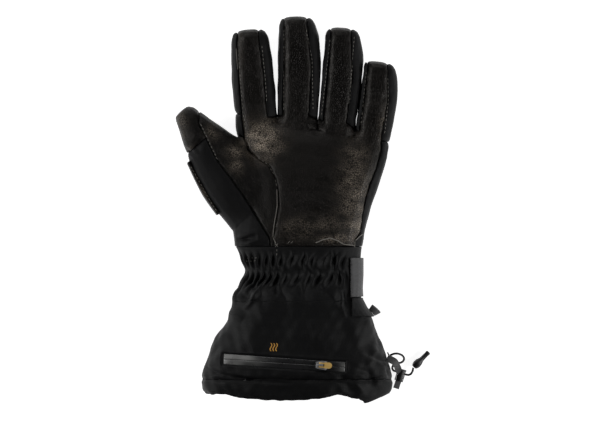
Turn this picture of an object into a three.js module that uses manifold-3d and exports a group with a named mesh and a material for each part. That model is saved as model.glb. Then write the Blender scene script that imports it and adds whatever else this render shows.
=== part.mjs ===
// A padded winter glove with a heater pocket, for the left hand. It lies on its back, palm up:
// +X runs to the little finger side, +Y to the fingertips and +Z up out of the palm.
// The tables measure from the wrist line, at the narrowest part of the glove, in millimetres or in shares
// of a named size. At the end the whole glove is moved so that the origin is under its middle.
import * as THREE from "three";
import { mergeVertices } from "three/addons/utils/BufferGeometryUtils.js";
import Module from "manifold-3d";

const wasm = await Module();
wasm.setup();

// Driving sizes of the hand
const handLength = 216; // wrist line to the tip of the middle finger
const palmWidth = 124; // across the knuckles
const palmDepth = 46; // back to palm at the heel of the hand
const fingerWidth = 35; // widest place of a finger
const fingerDepth = 29;
const thumbLength = 103; // tip to where its tube ends inside the palm
const thumbWidth = 36;
const thumbDepth = 33;
const padWall = 3.6; // leather or cloth with its wadding and lining

// Driving sizes of the wrist and the long cuff
const wristWidth = 97;
const wristDepth = 41;
const wristLift = 4.6; // the underside arches off the table here
const gatherTop = 24; // the elastic part reaches this far above the wrist line
const gatherBottom = 22; // and this far below it
const gatherDepth = 2.6;
const gatherCount = 12; // across the palm side
const gatherFreeSteps = 5; // half gathers left flat under the strap
const undersideSteps = 11; // round the other side of the arm
const cuffLength = 101; // wrist line to the open end
const hemWidth = 160;
const hemDepth = 61;
const hemBandLength = 14;
const cuffWall = 2.6;
const hemFoldDepth = 8; // the corner of cloth that points out of the hem

// Trim
const patchThickness = 2.6;
const strapThickness = 1.9;
const strapWidth = 33;
const strapTop = 14.5; // above the wrist line
const tunnelThickness = 1.5;
const tunnelLength = 16; // from the strap down
const zipLength = 102;
const zipWidth = 9.2;
const zipRecess = 1.2;
const zipTapeThickness = 0.7;
const zipAngle = -3.8; // degrees, down towards the little finger side
const sliderLength = 9;
const sliderWidth = 7.4;
const sliderHeight = 2.4;
const sliderAt = 0.303; // from the zip's middle, as a share of its length
const sliderClearance = 0.45; // over the tapes
const archWidth = 1.5;
const archThickness = 0.8;
const archReach = 1.4; // the free length under the arch beyond the puller's bar
const pullerTabLength = 6;
const pullerWidth = 5;
const pullerThickness = 1;
const pullerClearance = 0.35;
const cordDiameter = 1.8;
const lockLength = 10.5;
const lockWidth = 7.6;
const lockHeight = 7.2;
const lockAngle = -18.4; // degrees, how the lock lies on the table
const buttonTravel = 3;
const cordClearance = 0.5; // round the cord in the lock's hole
const lockEndWall = 1.5;
const lockHoleAt = 1.9; // the hole's middle, from the middle of the barrel
const buttonWidth = 5;
const buttonHeight = 4.2;
const buttonClearance = 0.35;
const buttonReach = 6.6; // how far the button stands out
const cordEndLength = 18;
const cordEndRadius = 3.6;
const eyeletRadius = 3.3;
const eyeletThickness = 1.2;
const cordTabWidth = 6;
const cordTabThickness = 1.5;
const pullTabWidth = 6;
const pullTabThickness = 1.6;

const seamGap = 0.3; // between neighbouring pieces
const tableTop = 0; // the surface that the glove lies on
const slopeStep = 2; // each way, to find how the cuff slopes
const high = 2 * hemDepth; // well above the glove, for cutting prisms

// Finishes
const finishes = {
  leather: { color: 0x1b1916, roughness: 0.5 },
  shell: { color: 0x141518, roughness: 0.85 },
  strap: { color: 0x4a4a4a, roughness: 0.9 },
  coating: { color: 0x22221f, roughness: 0.3 },
  plastic: { color: 0x2b2b2e, roughness: 0.45 },
  greyPlastic: { color: 0x77777a, roughness: 0.5 },
  steel: { color: 0x9a9a9c, roughness: 0.3, metalness: 1 },
  gilt: { color: 0xd09a3c, roughness: 0.35, metalness: 1 },
  cord: { color: 0x17171a, roughness: 0.8 },
};

// Each row is a ring of the wrist and cuff. along is a share of gatherTop above the wrist line and of
// cuffLength below it. left, right and depth go from 0, the size at the wrist, to 1, the size at the hem.
// lift is a share of wristLift, and gather a share of gatherDepth.
const armRows = [
  { along: 1.0, left: 0.23, right: 0.04, depth: 0.2, lift: 0.6, gather: 0 },
  { along: 0.66, left: 0.11, right: 0.0, depth: 0.13, lift: 1, gather: 0.5 },
  { along: 0.29, left: -0.01, right: 0.0, depth: 0.05, lift: 1, gather: 1 },
  { along: 0.0, left: 0.0, right: 0.0, depth: 0.0, lift: 1, gather: 0.55 },
  { along: -0.05, left: 0.02, right: -0.01, depth: 0.05, lift: 1, gather: 1 },
  { along: -0.11, left: 0.2, right: -0.02, depth: 0.18, lift: 1, gather: 0.7 },
  { along: -0.2, left: 0.29, right: 0.0, depth: 0.43, lift: 0.85, gather: 0 },
  { along: -0.27, left: 0.29, right: 0.14, depth: 0.54, lift: 0.4, gather: 0 },
  { along: -0.34, left: 0.39, right: 0.36, depth: 0.64, lift: 0.1, gather: 0 },
  { along: -0.44, left: 0.53, right: 0.44, depth: 0.75, lift: -0.1, gather: 0 },
  { along: -0.56, left: 0.76, right: 0.61, depth: 0.86, lift: -0.3, gather: 0 },
  { along: -0.68, left: 0.87, right: 0.85, depth: 0.95, lift: -0.35, gather: 0 },
  { along: -0.76, left: 0.95, right: 0.96, depth: 1.0, lift: -0.35, gather: 0 },
  { along: -0.84, left: 1.0, right: 1.0, depth: 1.0, lift: -0.35, gather: 0 },
  { along: -0.93, left: 1.0, right: 0.99, depth: 0.96, lift: -0.35, gather: 0 },
  { along: -1.0, left: 0.97, right: 0.96, depth: 0.9, lift: -0.3, gather: 0 },
];
const wristLeftShare = 0.503; // how the wrist's width lies about the middle line
const hemLeftShare = 0.533;
const armPower = 2.5;

// Each row is a ring of the palm. The along columns are shares of handLength at its two edges, left and
// right of palmWidth, low and high of palmDepth.
const palmRows = [
  { alongLeft: 0.175, alongRight: 0.175, left: -0.464, right: 0.412, low: 0.02, high: 1.03 },
  { alongLeft: 0.253, alongRight: 0.253, left: -0.43, right: 0.447, low: -0.02, high: 1.0 },
  { alongLeft: 0.335, alongRight: 0.325, left: -0.4, right: 0.488, low: -0.035, high: 0.94 },
  { alongLeft: 0.43, alongRight: 0.395, left: -0.4, right: 0.533, low: -0.035, high: 0.86 },
  { alongLeft: 0.52, alongRight: 0.45, left: -0.418, right: 0.56, low: -0.035, high: 0.77 },
  { alongLeft: 0.58, alongRight: 0.486, left: -0.438, right: 0.57, low: -0.02, high: 0.69 },
  { alongLeft: 0.606, alongRight: 0.504, left: -0.43, right: 0.56, low: 0.05, high: 0.6 },
];
const palmPower = 2.7;

// Finger tubes. across is a share of palmWidth, along of handLength, the widths and bow of fingerWidth.
// The insets say where the leather strip's two seams lie, as shares of the finger's width.
const fingers = [
  {
    name: "index",
    root: { across: -0.302, along: 0.506 },
    tip: { across: -0.369, along: 0.947 },
    width: { root: 0.98, middle: 0.99, tip: 0.87 },
    bow: 0.01,
    insetLeft: 0.15,
    insetRight: 0.24,
  },
  {
    name: "middle",
    root: { across: -0.044, along: 0.506 },
    tip: { across: -0.051, along: 0.9975 },
    width: { root: 0.93, middle: 1.05, tip: 0.88 },
    bow: 0.08,
    insetLeft: 0.13,
    insetRight: 0.22,
  },
  {
    name: "ring",
    root: { across: 0.207, along: 0.486 },
    tip: { across: 0.2574, along: 0.9547 },
    width: { root: 0.85, middle: 0.99, tip: 0.83 },
    bow: 0.09,
    insetLeft: 0.14,
    insetRight: 0.24,
  },
  {
    name: "little",
    root: { across: 0.445, along: 0.467 },
    tip: { across: 0.508, along: 0.8225 },
    width: { root: 0.82, middle: 0.9, tip: 0.77 },
    bow: 0.085,
    insetLeft: 0.12,
    insetRight: 0.24,
  },
];
// Rings of every finger: along it, then shares of its local width and of fingerDepth, and its lift.
const fingerRows = [
  { along: 0.0, width: 1, depth: 1.0, lift: 0.0 },
  { along: 0.25, width: 1, depth: 1.0, lift: 0.02 },
  { along: 0.5, width: 1, depth: 1.0, lift: 0.07 },
  { along: 0.72, width: 1, depth: 0.97, lift: 0.15 },
  { along: 0.86, width: 1, depth: 0.92, lift: 0.22 },
  { along: 0.94, width: 0.97, depth: 0.84, lift: 0.26 },
  { along: 0.98, width: 0.88, depth: 0.7, lift: 0.28 },
  { along: 1.0, width: 0.74, depth: 0.46, lift: 0.29 },
];
const fingerMiddleAt = 0.65;
const fingerTipAt = 0.92;
const fingerRootHeight = 0.49; // of fingerDepth, the tube's centre above the table at the palm
const fingerPower = 3.0;

// The thumb tube, from its tip towards the palm: along and side are shares of thumbLength.
const thumbTip = { across: -0.799, along: 0.6417 };
const thumbAngle = -50.3; // degrees, the way from the tip to the palm
const thumbRows = [
  { along: -0.024, side: -0.05, width: 0.2, depth: 0.3 },
  { along: 0.0, side: -0.038, width: 0.38, depth: 0.48 },
  { along: 0.035, side: -0.03, width: 0.52, depth: 0.64 },
  { along: 0.1, side: -0.031, width: 0.65, depth: 0.76 },
  { along: 0.2, side: -0.038, width: 0.8, depth: 0.86 },
  { along: 0.285, side: -0.046, width: 0.98, depth: 0.92 },
  { along: 0.473, side: -0.045, width: 1.29, depth: 1.0 },
  { along: 0.652, side: -0.067, width: 1.41, depth: 1.08 },
  { along: 0.832, side: -0.075, width: 1.44, depth: 1.12 },
  { along: 1.0, side: -0.078, width: 1.42, depth: 1.12 },
];
const thumbTipHeight = 0.78; // of thumbDepth, the tube's centre above the table
const thumbRootHeight = 0.66;
const thumbPower = 2.5;

// Seams on the palm side, as shares of palmWidth and handLength
const thumbSeam = [
  { across: -0.183, along: 0.05 },
  { across: -0.203, along: 0.144 },
  { across: -0.183, along: 0.206 },
  { across: -0.166, along: 0.264 },
  { across: -0.169, along: 0.323 },
  { across: -0.19, along: 0.377 },
  { across: -0.237, along: 0.424 },
  { across: -0.305, along: 0.449 },
  { across: -0.366, along: 0.474 },
  { across: -0.396, along: 0.525 },
];
const ulnarSeam = [
  { across: 0.522, along: 0.478 },
  { across: 0.49, along: 0.408 },
  { across: 0.446, along: 0.348 },
  { across: 0.416, along: 0.292 },
  { across: 0.398, along: 0.233 },
  { across: 0.38, along: 0.165 },
  { across: 0.345, along: 0.132 },
  { across: 0.335, along: 0.05 },
];
const thumbFrontSeam = [
  { across: -0.69, along: 0.72 },
  { across: -0.7045, along: 0.587 },
  { across: -0.657, along: 0.533 },
  { across: -0.5826, along: 0.443 },
  { across: -0.481, along: 0.366 },
  { across: -0.386, along: 0.288 },
  { across: -0.285, along: 0.194 },
  { across: -0.225, along: 0.136 },
  { across: -0.225, along: 0.05 },
];
const thumbBackSeam = [
  { across: -0.34, along: 0.05 },
  { across: -0.33, along: 0.25 },
  { across: -0.345, along: 0.38 },
  { across: -0.42, along: 0.5 },
  { across: -0.46, along: 0.56 },
];
// The line that the finger tubes are sewn on along, just past the webs between them
const knuckleLine = { left: { across: -0.6, along: 0.64 }, right: { across: 0.75, along: 0.493 } };
const leatherLow = 0.6; // of fingerDepth: the leather reaches down to here over the fingertips
const thumbLeatherLow = 0.62; // of thumbDepth
const thumbTipLeather = 0.29; // of thumbLength: the leather cap on the thumb

// The hem's edge on the palm side: how far it stands out, as a share of hemFoldDepth, at shares of hemWidth
const hemEdge = [
  { across: -0.53, out: -0.29 },
  { across: -0.48, out: 0.12 },
  { across: -0.45, out: -0.2 },
  { across: -0.33, out: 0.34 },
  { across: -0.2, out: 0.5 },
  { across: 0.05, out: 0.5 },
  { across: 0.14, out: 0.34 },
  { across: 0.23, out: -0.08 },
  { across: 0.26, out: 0.12 },
  { across: 0.3, out: 1.05 },
  { across: 0.32, out: 0.9 },
  { across: 0.4, out: 0.03 },
  { across: 0.47, out: -0.12 },
];

// Small helpers
const mix = (a, b, t) => a + (b - a) * t;
const place = ({ across, along }) => new THREE.Vector2(across * palmWidth, along * handLength);
const radians = THREE.MathUtils.degToRad;

function tableValue(rows, key, at, column) {
  let i = rows.findIndex((row) => row[key] >= at);
  if (i < 0) i = rows.length - 1;
  if (i === 0) i = 1;
  const [a, b] = [rows[i - 1], rows[i]];
  const t = THREE.MathUtils.clamp((at - a[key]) / (b[key] - a[key]), 0, 1);
  return mix(a[column], b[column], t);
}

function evenAngles(count) {
  return Array.from({ length: count }, (_, i) => (2 * Math.PI * i) / count);
}

// One ring of points: a rounded box shape that nothing of falls below the floor
function ring({ centre, across, halfWidth, halfDepth, power, floor = tableTop }, angles) {
  const bend = (v) => Math.sign(v) * Math.abs(v) ** (2 / power);
  return angles.map((angle) => {
    const side = bend(Math.cos(angle)) * halfWidth;
    const rise = bend(Math.sin(angle)) * halfDepth;
    const point = centre.clone().addScaledVector(across, side);
    point.z = Math.max(point.z + rise, floor);
    return point;
  });
}

// A closed skin over a row of rings, with a flat end at each side
function loft(rings) {
  const count = rings[0].length;
  const middle = (points) =>
    points.reduce((sum, p) => sum.add(p), new THREE.Vector3()).divideScalar(points.length);
  const points = [...rings.flat(), middle(rings[0]), middle(rings.at(-1))];
  const [firstCentre, lastCentre] = [points.length - 2, points.length - 1];
  const faces = [];
  rings.slice(1).forEach((_, r) => {
    for (let i = 0; i < count; i++) {
      const [a, b] = [r * count + i, r * count + ((i + 1) % count)];
      faces.push([a, b, b + count], [a, b + count, a + count]);
    }
  });
  const lastRing = (rings.length - 1) * count;
  for (let i = 0; i < count; i++) {
    const next = (i + 1) % count;
    faces.push([firstCentre, next, i], [lastCentre, lastRing + i, lastRing + next]);
  }
  const made = new THREE.BufferGeometry().setFromPoints(points);
  made.setIndex(faces.flat());
  return solid(made);
}

function volumeOf(vertices, triangles) {
  let sum = 0;
  const [a, b, c] = [new THREE.Vector3(), new THREE.Vector3(), new THREE.Vector3()];
  for (let i = 0; i < triangles.length; i += 3) {
    a.fromArray(vertices, 3 * triangles[i]);
    b.fromArray(vertices, 3 * triangles[i + 1]);
    c.fromArray(vertices, 3 * triangles[i + 2]);
    sum += a.dot(b.cross(c));
  }
  return sum;
}

// A three.js geometry as a manifold solid, turned right side out
function solid(geometry) {
  const bare = geometry.clone();
  bare.deleteAttribute("normal");
  bare.deleteAttribute("uv");
  const merged = mergeVertices(bare, 1e-4);
  const vertProperties = new Float32Array(merged.attributes.position.array);
  const triVerts = new Uint32Array(merged.index.array);
  if (volumeOf(vertProperties, triVerts) < 0) {
    for (let i = 0; i < triVerts.length; i += 3) {
      [triVerts[i + 1], triVerts[i + 2]] = [triVerts[i + 2], triVerts[i + 1]];
    }
  }
  return new wasm.Manifold(new wasm.Mesh({ numProp: 3, vertProperties, triVerts }));
}

function toGeometry(body) {
  const mesh = body.getMesh();
  const geometry = new THREE.BufferGeometry();
  geometry.setAttribute("position", new THREE.BufferAttribute(mesh.vertProperties, 3));
  geometry.setIndex(new THREE.BufferAttribute(mesh.triVerts, 1));
  return geometry;
}

// A cut can leave shavings: the piece is the largest body
function largest(body) {
  return body.decompose().sort((a, b) => b.volume() - a.volume())[0];
}

// A plan outline moved outwards by a distance
function grown(outline, distance) {
  const points = THREE.ShapeUtils.area(outline) < 0 ? [...outline].reverse() : outline;
  return points.map((point, i) => {
    const before = points.at(i - 1);
    const after = points[(i + 1) % points.length];
    const [u, v] = [point.clone().sub(before).normalize(), after.clone().sub(point).normalize()];
    const normal = new THREE.Vector2(u.y + v.y, -u.x - v.x).normalize();
    const stretch = distance / Math.max(normal.dot(new THREE.Vector2(u.y, -u.x)), 0.4);
    return point.clone().addScaledVector(normal, stretch);
  });
}

// A plan outline stood up between two heights
function prism(outline, low, top) {
  const made = new THREE.ExtrudeGeometry(new THREE.Shape(outline), {
    depth: top - low,
    bevelEnabled: false,
  });
  return solid(made.translate(0, 0, low));
}

function block(size, centre) {
  return solid(new THREE.BoxGeometry(size.x, size.y, size.z).translate(centre.x, centre.y, centre.z));
}

function rectangle(left, right, bottom, top) {
  return [
    new THREE.Vector2(left, bottom),
    new THREE.Vector2(right, bottom),
    new THREE.Vector2(right, top),
    new THREE.Vector2(left, top),
  ];
}

// A bar with round ends in plan
function capsule(length, width, steps = 6) {
  const radius = width / 2;
  const points = [];
  for (const side of [1, -1]) {
    for (let i = 0; i <= steps; i++) {
      const angle = -Math.PI / 2 + (Math.PI * i) / steps + (side < 0 ? Math.PI : 0);
      const x = side * (length / 2 - radius) + radius * Math.cos(angle);
      points.push(new THREE.Vector2(x, radius * Math.sin(angle)));
    }
  }
  return points;
}

// The wrist and cuff
const armAlong = (row) => row.along * (row.along > 0 ? gatherTop : cuffLength);
const armTable = armRows.map((row) => ({ ...row, y: armAlong(row) })).sort((a, b) => a.y - b.y);

function armSection(y) {
  const value = (column) => tableValue(armTable, "y", y, column);
  const left = mix(wristWidth * wristLeftShare, hemWidth * hemLeftShare, value("left"));
  const right = mix(wristWidth * (1 - wristLeftShare), hemWidth * (1 - hemLeftShare), value("right"));
  const low = value("lift") * wristLift;
  return {
    middle: (right - left) / 2,
    halfWidth: (left + right) / 2,
    height: low + mix(wristDepth, hemDepth, value("depth")) / 2,
    halfDepth: mix(wristDepth, hemDepth, value("depth")) / 2,
    gather: value("gather") * gatherDepth,
  };
}

function armRing(y, growth, angles) {
  const { middle, halfWidth, height, halfDepth } = armSection(y);
  return ring(
    {
      centre: new THREE.Vector3(middle, y, height),
      across: new THREE.Vector3(1, 0, 0),
      halfWidth: halfWidth + growth,
      halfDepth: halfDepth + growth,
      power: armPower,
      floor: tableTop - growth,
    },
    angles,
  );
}

// Heights of the arm's rings between two limits, with the limits themselves
function armStations(from, to) {
  const breaks = [-gatherBottom, -gatherBottom - seamGap];
  const all = [...armTable.map((row) => row.y), ...breaks].sort((a, b) => b - a);
  return [from, ...all.filter((y) => y < from - 0.05 && y > to + 0.05), to];
}

// Angles round the arm: fine and even over the palm side, where the gathers are, and wider apart below
const armAngles = [
  ...Array.from({ length: 2 * gatherCount }, (_, i) => (Math.PI * (i + 0.5)) / (2 * gatherCount)),
  ...Array.from({ length: undersideSteps }, (_, i) => Math.PI * (1 + (i + 0.5) / undersideSteps)),
];
const armTube = (from, to, growth, angles = armAngles) =>
  loft(armStations(from, to).map((y) => armRing(y, growth, angles)));

// The height of the cuff's palm side above a plan point
function cuffTop(x, y) {
  const { middle, halfWidth, height, halfDepth } = armSection(y);
  const share = Math.min(Math.abs(x - middle) / halfWidth, 1);
  return height + halfDepth * (1 - share ** armPower) ** (1 / armPower);
}

// The gathered wrist: on the palm side every second point of a ring stands out, and less so near the strap
function gatheredRing(y) {
  const { middle, height, gather } = armSection(y);
  const centre = new THREE.Vector3(middle, y, height);
  return armRing(y, 0, armAngles).map((point, i) => {
    if (i >= 2 * gatherCount) return point;
    const fromStrap = THREE.MathUtils.clamp((i - gatherFreeSteps) / 4, 0, 1);
    const fromSide = THREE.MathUtils.clamp((2 * gatherCount - i) / 4, 0, 1);
    const wave = (i % 2 ? 1 : -0.4) * gather * fromStrap * fromSide;
    const outwards = point.clone().sub(centre).setY(0).normalize();
    return point.addScaledVector(outwards, wave);
  });
}
const wristOuter = loft(armStations(gatherTop - seamGap, -gatherBottom).map(gatheredRing));
const armInner = armTube(gatherTop + 2, -cuffLength - 2 * hemFoldDepth, -cuffWall, evenAngles(16));
const wristGather = wristOuter.subtract(armInner);

// The cuff, with a shallow window for the pocket's zip
const cuffFrom = -gatherBottom - seamGap;
const cuffTo = -cuffLength + hemBandLength;
const zipCentre = new THREE.Vector2(-0.1 * hemWidth, -0.725 * cuffLength);
const inZip = (outline) =>
  outline.map((point) => point.clone().rotateAround(new THREE.Vector2(), radians(zipAngle)).add(zipCentre));
const zipWindow = prism(inZip(capsule(zipLength, zipWidth)), hemDepth / 2, high);
const cuffFloor = armTube(cuffFrom + 1, cuffTo - 1, -zipRecess);
const cuff = armTube(cuffFrom, cuffTo, 0).subtract(armInner).subtract(zipWindow.subtract(cuffFloor));

// The zip: two coated tapes that meet along the middle of the window
function zipTape(side) {
  const half = inZip(
    side > 0
      ? rectangle(-zipLength, zipLength, seamGap / 2, zipWidth)
      : rectangle(-zipLength, zipLength, -zipWidth, -seamGap / 2),
  );
  const strip = prism(inZip(capsule(zipLength - 2 * seamGap, zipWidth - 2 * seamGap)), hemDepth / 2, high);
  const bottom = armTube(cuffFrom + 1, cuffTo - 1, -zipRecess + seamGap);
  const top = armTube(cuffFrom + 1, cuffTo - 1, -zipRecess + seamGap + zipTapeThickness);
  return strip.intersect(prism(half, hemDepth / 2, high)).intersect(top).subtract(bottom);
}

// The hem: a band that ends in an uneven edge on the palm side
function hemRing(y, edgeShare) {
  return armRing(y, 0, armAngles).map((point) => {
    if (point.z < hemDepth / 2) return point;
    const out = tableValue(hemEdge, "across", point.x / hemWidth, "out") * hemFoldDepth;
    point.y -= out * edgeShare;
    return point;
  });
}
const hemFrom = cuffTo - seamGap;
const hemOuter = loft([
  hemRing(hemFrom, 0),
  hemRing(mix(hemFrom, -cuffLength, 0.5), 0),
  hemRing(-cuffLength, 1),
]);
const hemBand = hemOuter.subtract(armInner);

// The hand: a palm, four finger tubes and a thumb tube, each with its hollow
const palmAngles = (growth) => evenAngles(growth < 0 ? 14 : 24);
function palmRing(row, growth, shift = 0) {
  const [left, right] = [row.left * palmWidth, row.right * palmWidth];
  const [low, top] = [row.low * palmDepth, row.high * palmDepth];
  const middle = (left + right) / 2;
  const points = ring(
    {
      centre: new THREE.Vector3(middle, 0, (low + top) / 2),
      across: new THREE.Vector3(1, 0, 0),
      halfWidth: (right - left) / 2 + growth,
      halfDepth: (top - low) / 2 + growth,
      power: palmPower,
      floor: tableTop - growth,
    },
    palmAngles(growth),
  );
  return points.map((point) => {
    const share = (point.x - left) / (right - left);
    point.y = mix(row.alongLeft, row.alongRight, share) * handLength + shift;
    return point;
  });
}
function palmTube(growth) {
  const first = armRing(gatherTop + growth, growth, palmAngles(growth));
  const rest = palmRows.map((row, i) => palmRing(row, growth, i > palmRows.length - 3 ? growth : 0));
  return loft([first, ...rest]);
}

const acrossPlan = new THREE.Vector3();
function fingerWidthAt(finger, t) {
  const { root, middle, tip } = finger.width;
  const share =
    t < fingerMiddleAt
      ? mix(root, middle, t / fingerMiddleAt)
      : mix(middle, tip, Math.min((t - fingerMiddleAt) / (fingerTipAt - fingerMiddleAt), 1));
  return share * fingerWidth;
}
// A point of a finger's centre line in plan, and the way across the finger
function fingerLine(finger, t) {
  const [root, tip] = [place(finger.root), place(finger.tip)];
  const along = tip.clone().sub(root);
  const across = new THREE.Vector2(along.y, -along.x).normalize();
  const bow = 6.75 * t * t * (1 - t) * finger.bow * fingerWidth;
  const point = root.clone().addScaledVector(along, t).addScaledVector(across, bow);
  return { point, across };
}
// A finger's skin or, with less growth, its hollow. The skin reaches one wall further into the palm, so that
// no hollow opens beside it.
function fingerTube(finger, growth) {
  const length = place(finger.tip).distanceTo(place(finger.root));
  const start = growth < 0 ? 0 : -padWall / length;
  const angles = evenAngles(growth < 0 ? 10 : 16);
  return loft(
    fingerRows.map((row) => {
      const t = row.along > 0 ? row.along * (1 + growth / length) : start;
      const { point, across } = fingerLine(finger, t);
      acrossPlan.set(across.x, across.y, 0);
      const height = (fingerRootHeight + row.lift) * fingerDepth;
      return ring(
        {
          centre: new THREE.Vector3(point.x, point.y, height),
          across: acrossPlan,
          halfWidth: (fingerWidthAt(finger, row.along) * row.width) / 2 + growth,
          halfDepth: (fingerDepth * row.depth) / 2 + growth,
          power: fingerPower,
          floor: tableTop - growth,
        },
        angles,
      );
    }),
  );
}

const thumbWay = new THREE.Vector2(Math.cos(radians(thumbAngle)), Math.sin(radians(thumbAngle)));
const thumbAcross = new THREE.Vector2(-thumbWay.y, thumbWay.x);
const thumbPlan = (along, side) =>
  place(thumbTip).addScaledVector(thumbWay, along).addScaledVector(thumbAcross, side);
function thumbTube(growth) {
  return loft(
    thumbRows.map((row) => {
      const along = Math.max(row.along * thumbLength - growth * (1 - row.along), -growth);
      const point = thumbPlan(along, row.side * thumbLength);
      const height = mix(thumbTipHeight, thumbRootHeight, row.along) * thumbDepth;
      return ring(
        {
          centre: new THREE.Vector3(point.x, point.y, height),
          across: new THREE.Vector3(thumbAcross.x, thumbAcross.y, 0),
          halfWidth: (row.width * thumbWidth) / 2 + growth,
          halfDepth: (row.depth * thumbDepth) / 2 + growth,
          power: thumbPower,
          floor: tableTop - growth,
        },
        evenAngles(growth < 0 ? 10 : 18),
      );
    }),
  );
}

function handBody(growth) {
  const tubes = [palmTube(growth), thumbTube(growth), ...fingers.map((f) => fingerTube(f, growth))];
  return tubes.reduce((sum, tube) => sum.add(tube));
}
const aboveWrist = prism(
  rectangle(-2 * palmWidth, 2 * palmWidth, gatherTop, 2 * handLength),
  -high,
  high,
);
const handShell = handBody(0).subtract(handBody(-padWall)).intersect(aboveWrist);

// The palm leather's outline: up the thumb seam, round each finger's strip, and down the little finger side
function stripEdge(finger, side) {
  const inset = side < 0 ? finger.insetLeft : finger.insetRight;
  const at = [0.22, 0.6, 0.93];
  const edge = at.map((t) => {
    const { point, across } = fingerLine(finger, t);
    return point.addScaledVector(across, side * fingerWidthAt(finger, t) * (0.5 - inset));
  });
  const { point, across } = fingerLine(finger, 1);
  const beyond = point.addScaledVector(across, side * fingerWidthAt(finger, 1) * (0.5 - inset));
  edge.push(new THREE.Vector2(beyond.x, beyond.y + fingerWidth / 2));
  return edge;
}
const leatherOutline = [
  ...thumbSeam.map(place),
  ...fingers.flatMap((finger) => [...stripEdge(finger, -1), ...stripEdge(finger, 1).reverse()]),
  ...ulnarSeam.map(place),
];
const leatherFloor = leatherLow * fingerDepth;
const palmLeather = largest(handShell.intersect(prism(leatherOutline, leatherFloor, high)));
const withoutLeather = handShell.subtract(
  prism(grown(leatherOutline, seamGap), leatherFloor - seamGap, high),
);

// The fingers' backs and sides beyond the knuckle line, one piece a finger
const knuckle = [place(knuckleLine.left), place(knuckleLine.right)];
function beyondKnuckles(from, to, shift) {
  const lineAt = (x) => {
    const t = (x - knuckle[0].x) / (knuckle[1].x - knuckle[0].x);
    return new THREE.Vector2(x, mix(knuckle[0].y, knuckle[1].y, t) + shift);
  };
  return [
    lineAt(from),
    lineAt(to),
    new THREE.Vector2(to, 2 * handLength),
    new THREE.Vector2(from, 2 * handLength),
  ];
}
const farLeft = -place(fingers[0].root).length() - palmWidth;
function fingerBack(finger) {
  const tube = fingerTube(finger, 0).subtract(handBody(-padWall));
  const zone = prism(beyondKnuckles(farLeft, 2 * palmWidth, seamGap), -high, high);
  const leather = prism(grown(leatherOutline, seamGap), leatherFloor - seamGap, high);
  return largest(tube.intersect(zone).subtract(leather).subtract(thumbZone(seamGap)));
}

// The thumb's zone: as far as the leather on the palm side, and less far on the back
function thumbZone(extra) {
  const outside = [
    new THREE.Vector2(-2 * palmWidth, handLength),
    new THREE.Vector2(-2 * palmWidth, 0),
  ];
  const crotch = place({ across: -0.47, along: 0.545 });
  const corner = place({ across: -0.56, along: 1 });
  const front = [...thumbSeam.map(place), crotch, corner, ...outside];
  const back = [...thumbBackSeam.map(place), corner, ...outside];
  const split = thumbLeatherLow * thumbDepth;
  return prism(grown(front, extra), split - extra, high).add(prism(grown(back, extra), -high, split));
}

const thumbShell = withoutLeather.intersect(thumbZone(0));
const frontZone = [
  ...thumbFrontSeam.map(place),
  ...thumbSeam.map(place),
  place({ across: -0.4, along: 0.72 }),
];
const thumbSplit = thumbLeatherLow * thumbDepth;
const thumbLeather = largest(thumbShell.intersect(prism(frontZone, thumbSplit, high)));
const thumbRest = thumbShell.subtract(prism(grown(frontZone, seamGap), thumbSplit - seamGap, high));
function thumbSpan(from, to) {
  const reach = thumbLength / 2;
  return prism(
    [thumbPlan(from, -reach), thumbPlan(to, -reach), thumbPlan(to, reach), thumbPlan(from, reach)],
    -high,
    high,
  );
}
const tipReach = thumbTipLeather * thumbLength;
const thumbTipCap = largest(thumbRest.intersect(thumbSpan(-fingerWidth, tipReach)));
const thumbBack = largest(thumbRest.subtract(thumbSpan(-fingerWidth, tipReach + seamGap)));

const handBack = largest(
  withoutLeather
    .subtract(prism(beyondKnuckles(farLeft, 2 * palmWidth, 0), -high, high))
    .subtract(thumbZone(seamGap)),
);

// The pad on the outer side of the thumb
const patchSpan = thumbSpan(0.35 * thumbLength, 0.83 * thumbLength);
const patchTop = 0.95 * thumbDepth;
const patchSide = prism(
  [
    thumbPlan(0, -thumbLength),
    thumbPlan(2 * thumbLength, -thumbLength),
    thumbPlan(2 * thumbLength, -0.42 * thumbWidth),
    thumbPlan(0, -0.42 * thumbWidth),
  ],
  -high,
  patchTop,
);
const thumbPatch = largest(
  thumbTube(seamGap + patchThickness)
    .subtract(thumbTube(seamGap))
    .intersect(patchSpan)
    .intersect(patchSide)
    .subtract(palmTube(seamGap)),
);

// The strap: round the little finger side of the wrist and across its back
const strapFrontEdge = 0.41 * wristWidth;
const strapBackEnd = -0.32 * wristWidth;
function armBand(outline, low, top, thickness) {
  const skin = armTube(gatherTop - seamGap, cuffTo, seamGap + thickness).subtract(
    armTube(gatherTop, cuffTo - 1, seamGap),
  );
  return skin.intersect(prism(outline, low, top));
}
const strapMiddle = strapTop - strapWidth / 2;
const strapBack = capsule(2 * wristWidth, strapWidth).map(
  (point) => new THREE.Vector2(point.x + strapBackEnd + wristWidth, point.y + strapMiddle),
);
const strapFront = rectangle(strapFrontEdge, wristWidth, strapTop - strapWidth, strapTop);
const wristStrap = largest(
  armBand(strapFront, 0, high, strapThickness).add(
    armBand(strapBack, -high, wristDepth / 2, strapThickness),
  ),
);
const cordTunnel = largest(
  armBand(
    rectangle(
      strapFrontEdge + 0.5,
      wristWidth,
      strapTop - strapWidth - seamGap - tunnelLength,
      strapTop - strapWidth - seamGap,
    ),
    wristDepth / 2,
    high,
    tunnelThickness,
  ),
);

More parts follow.
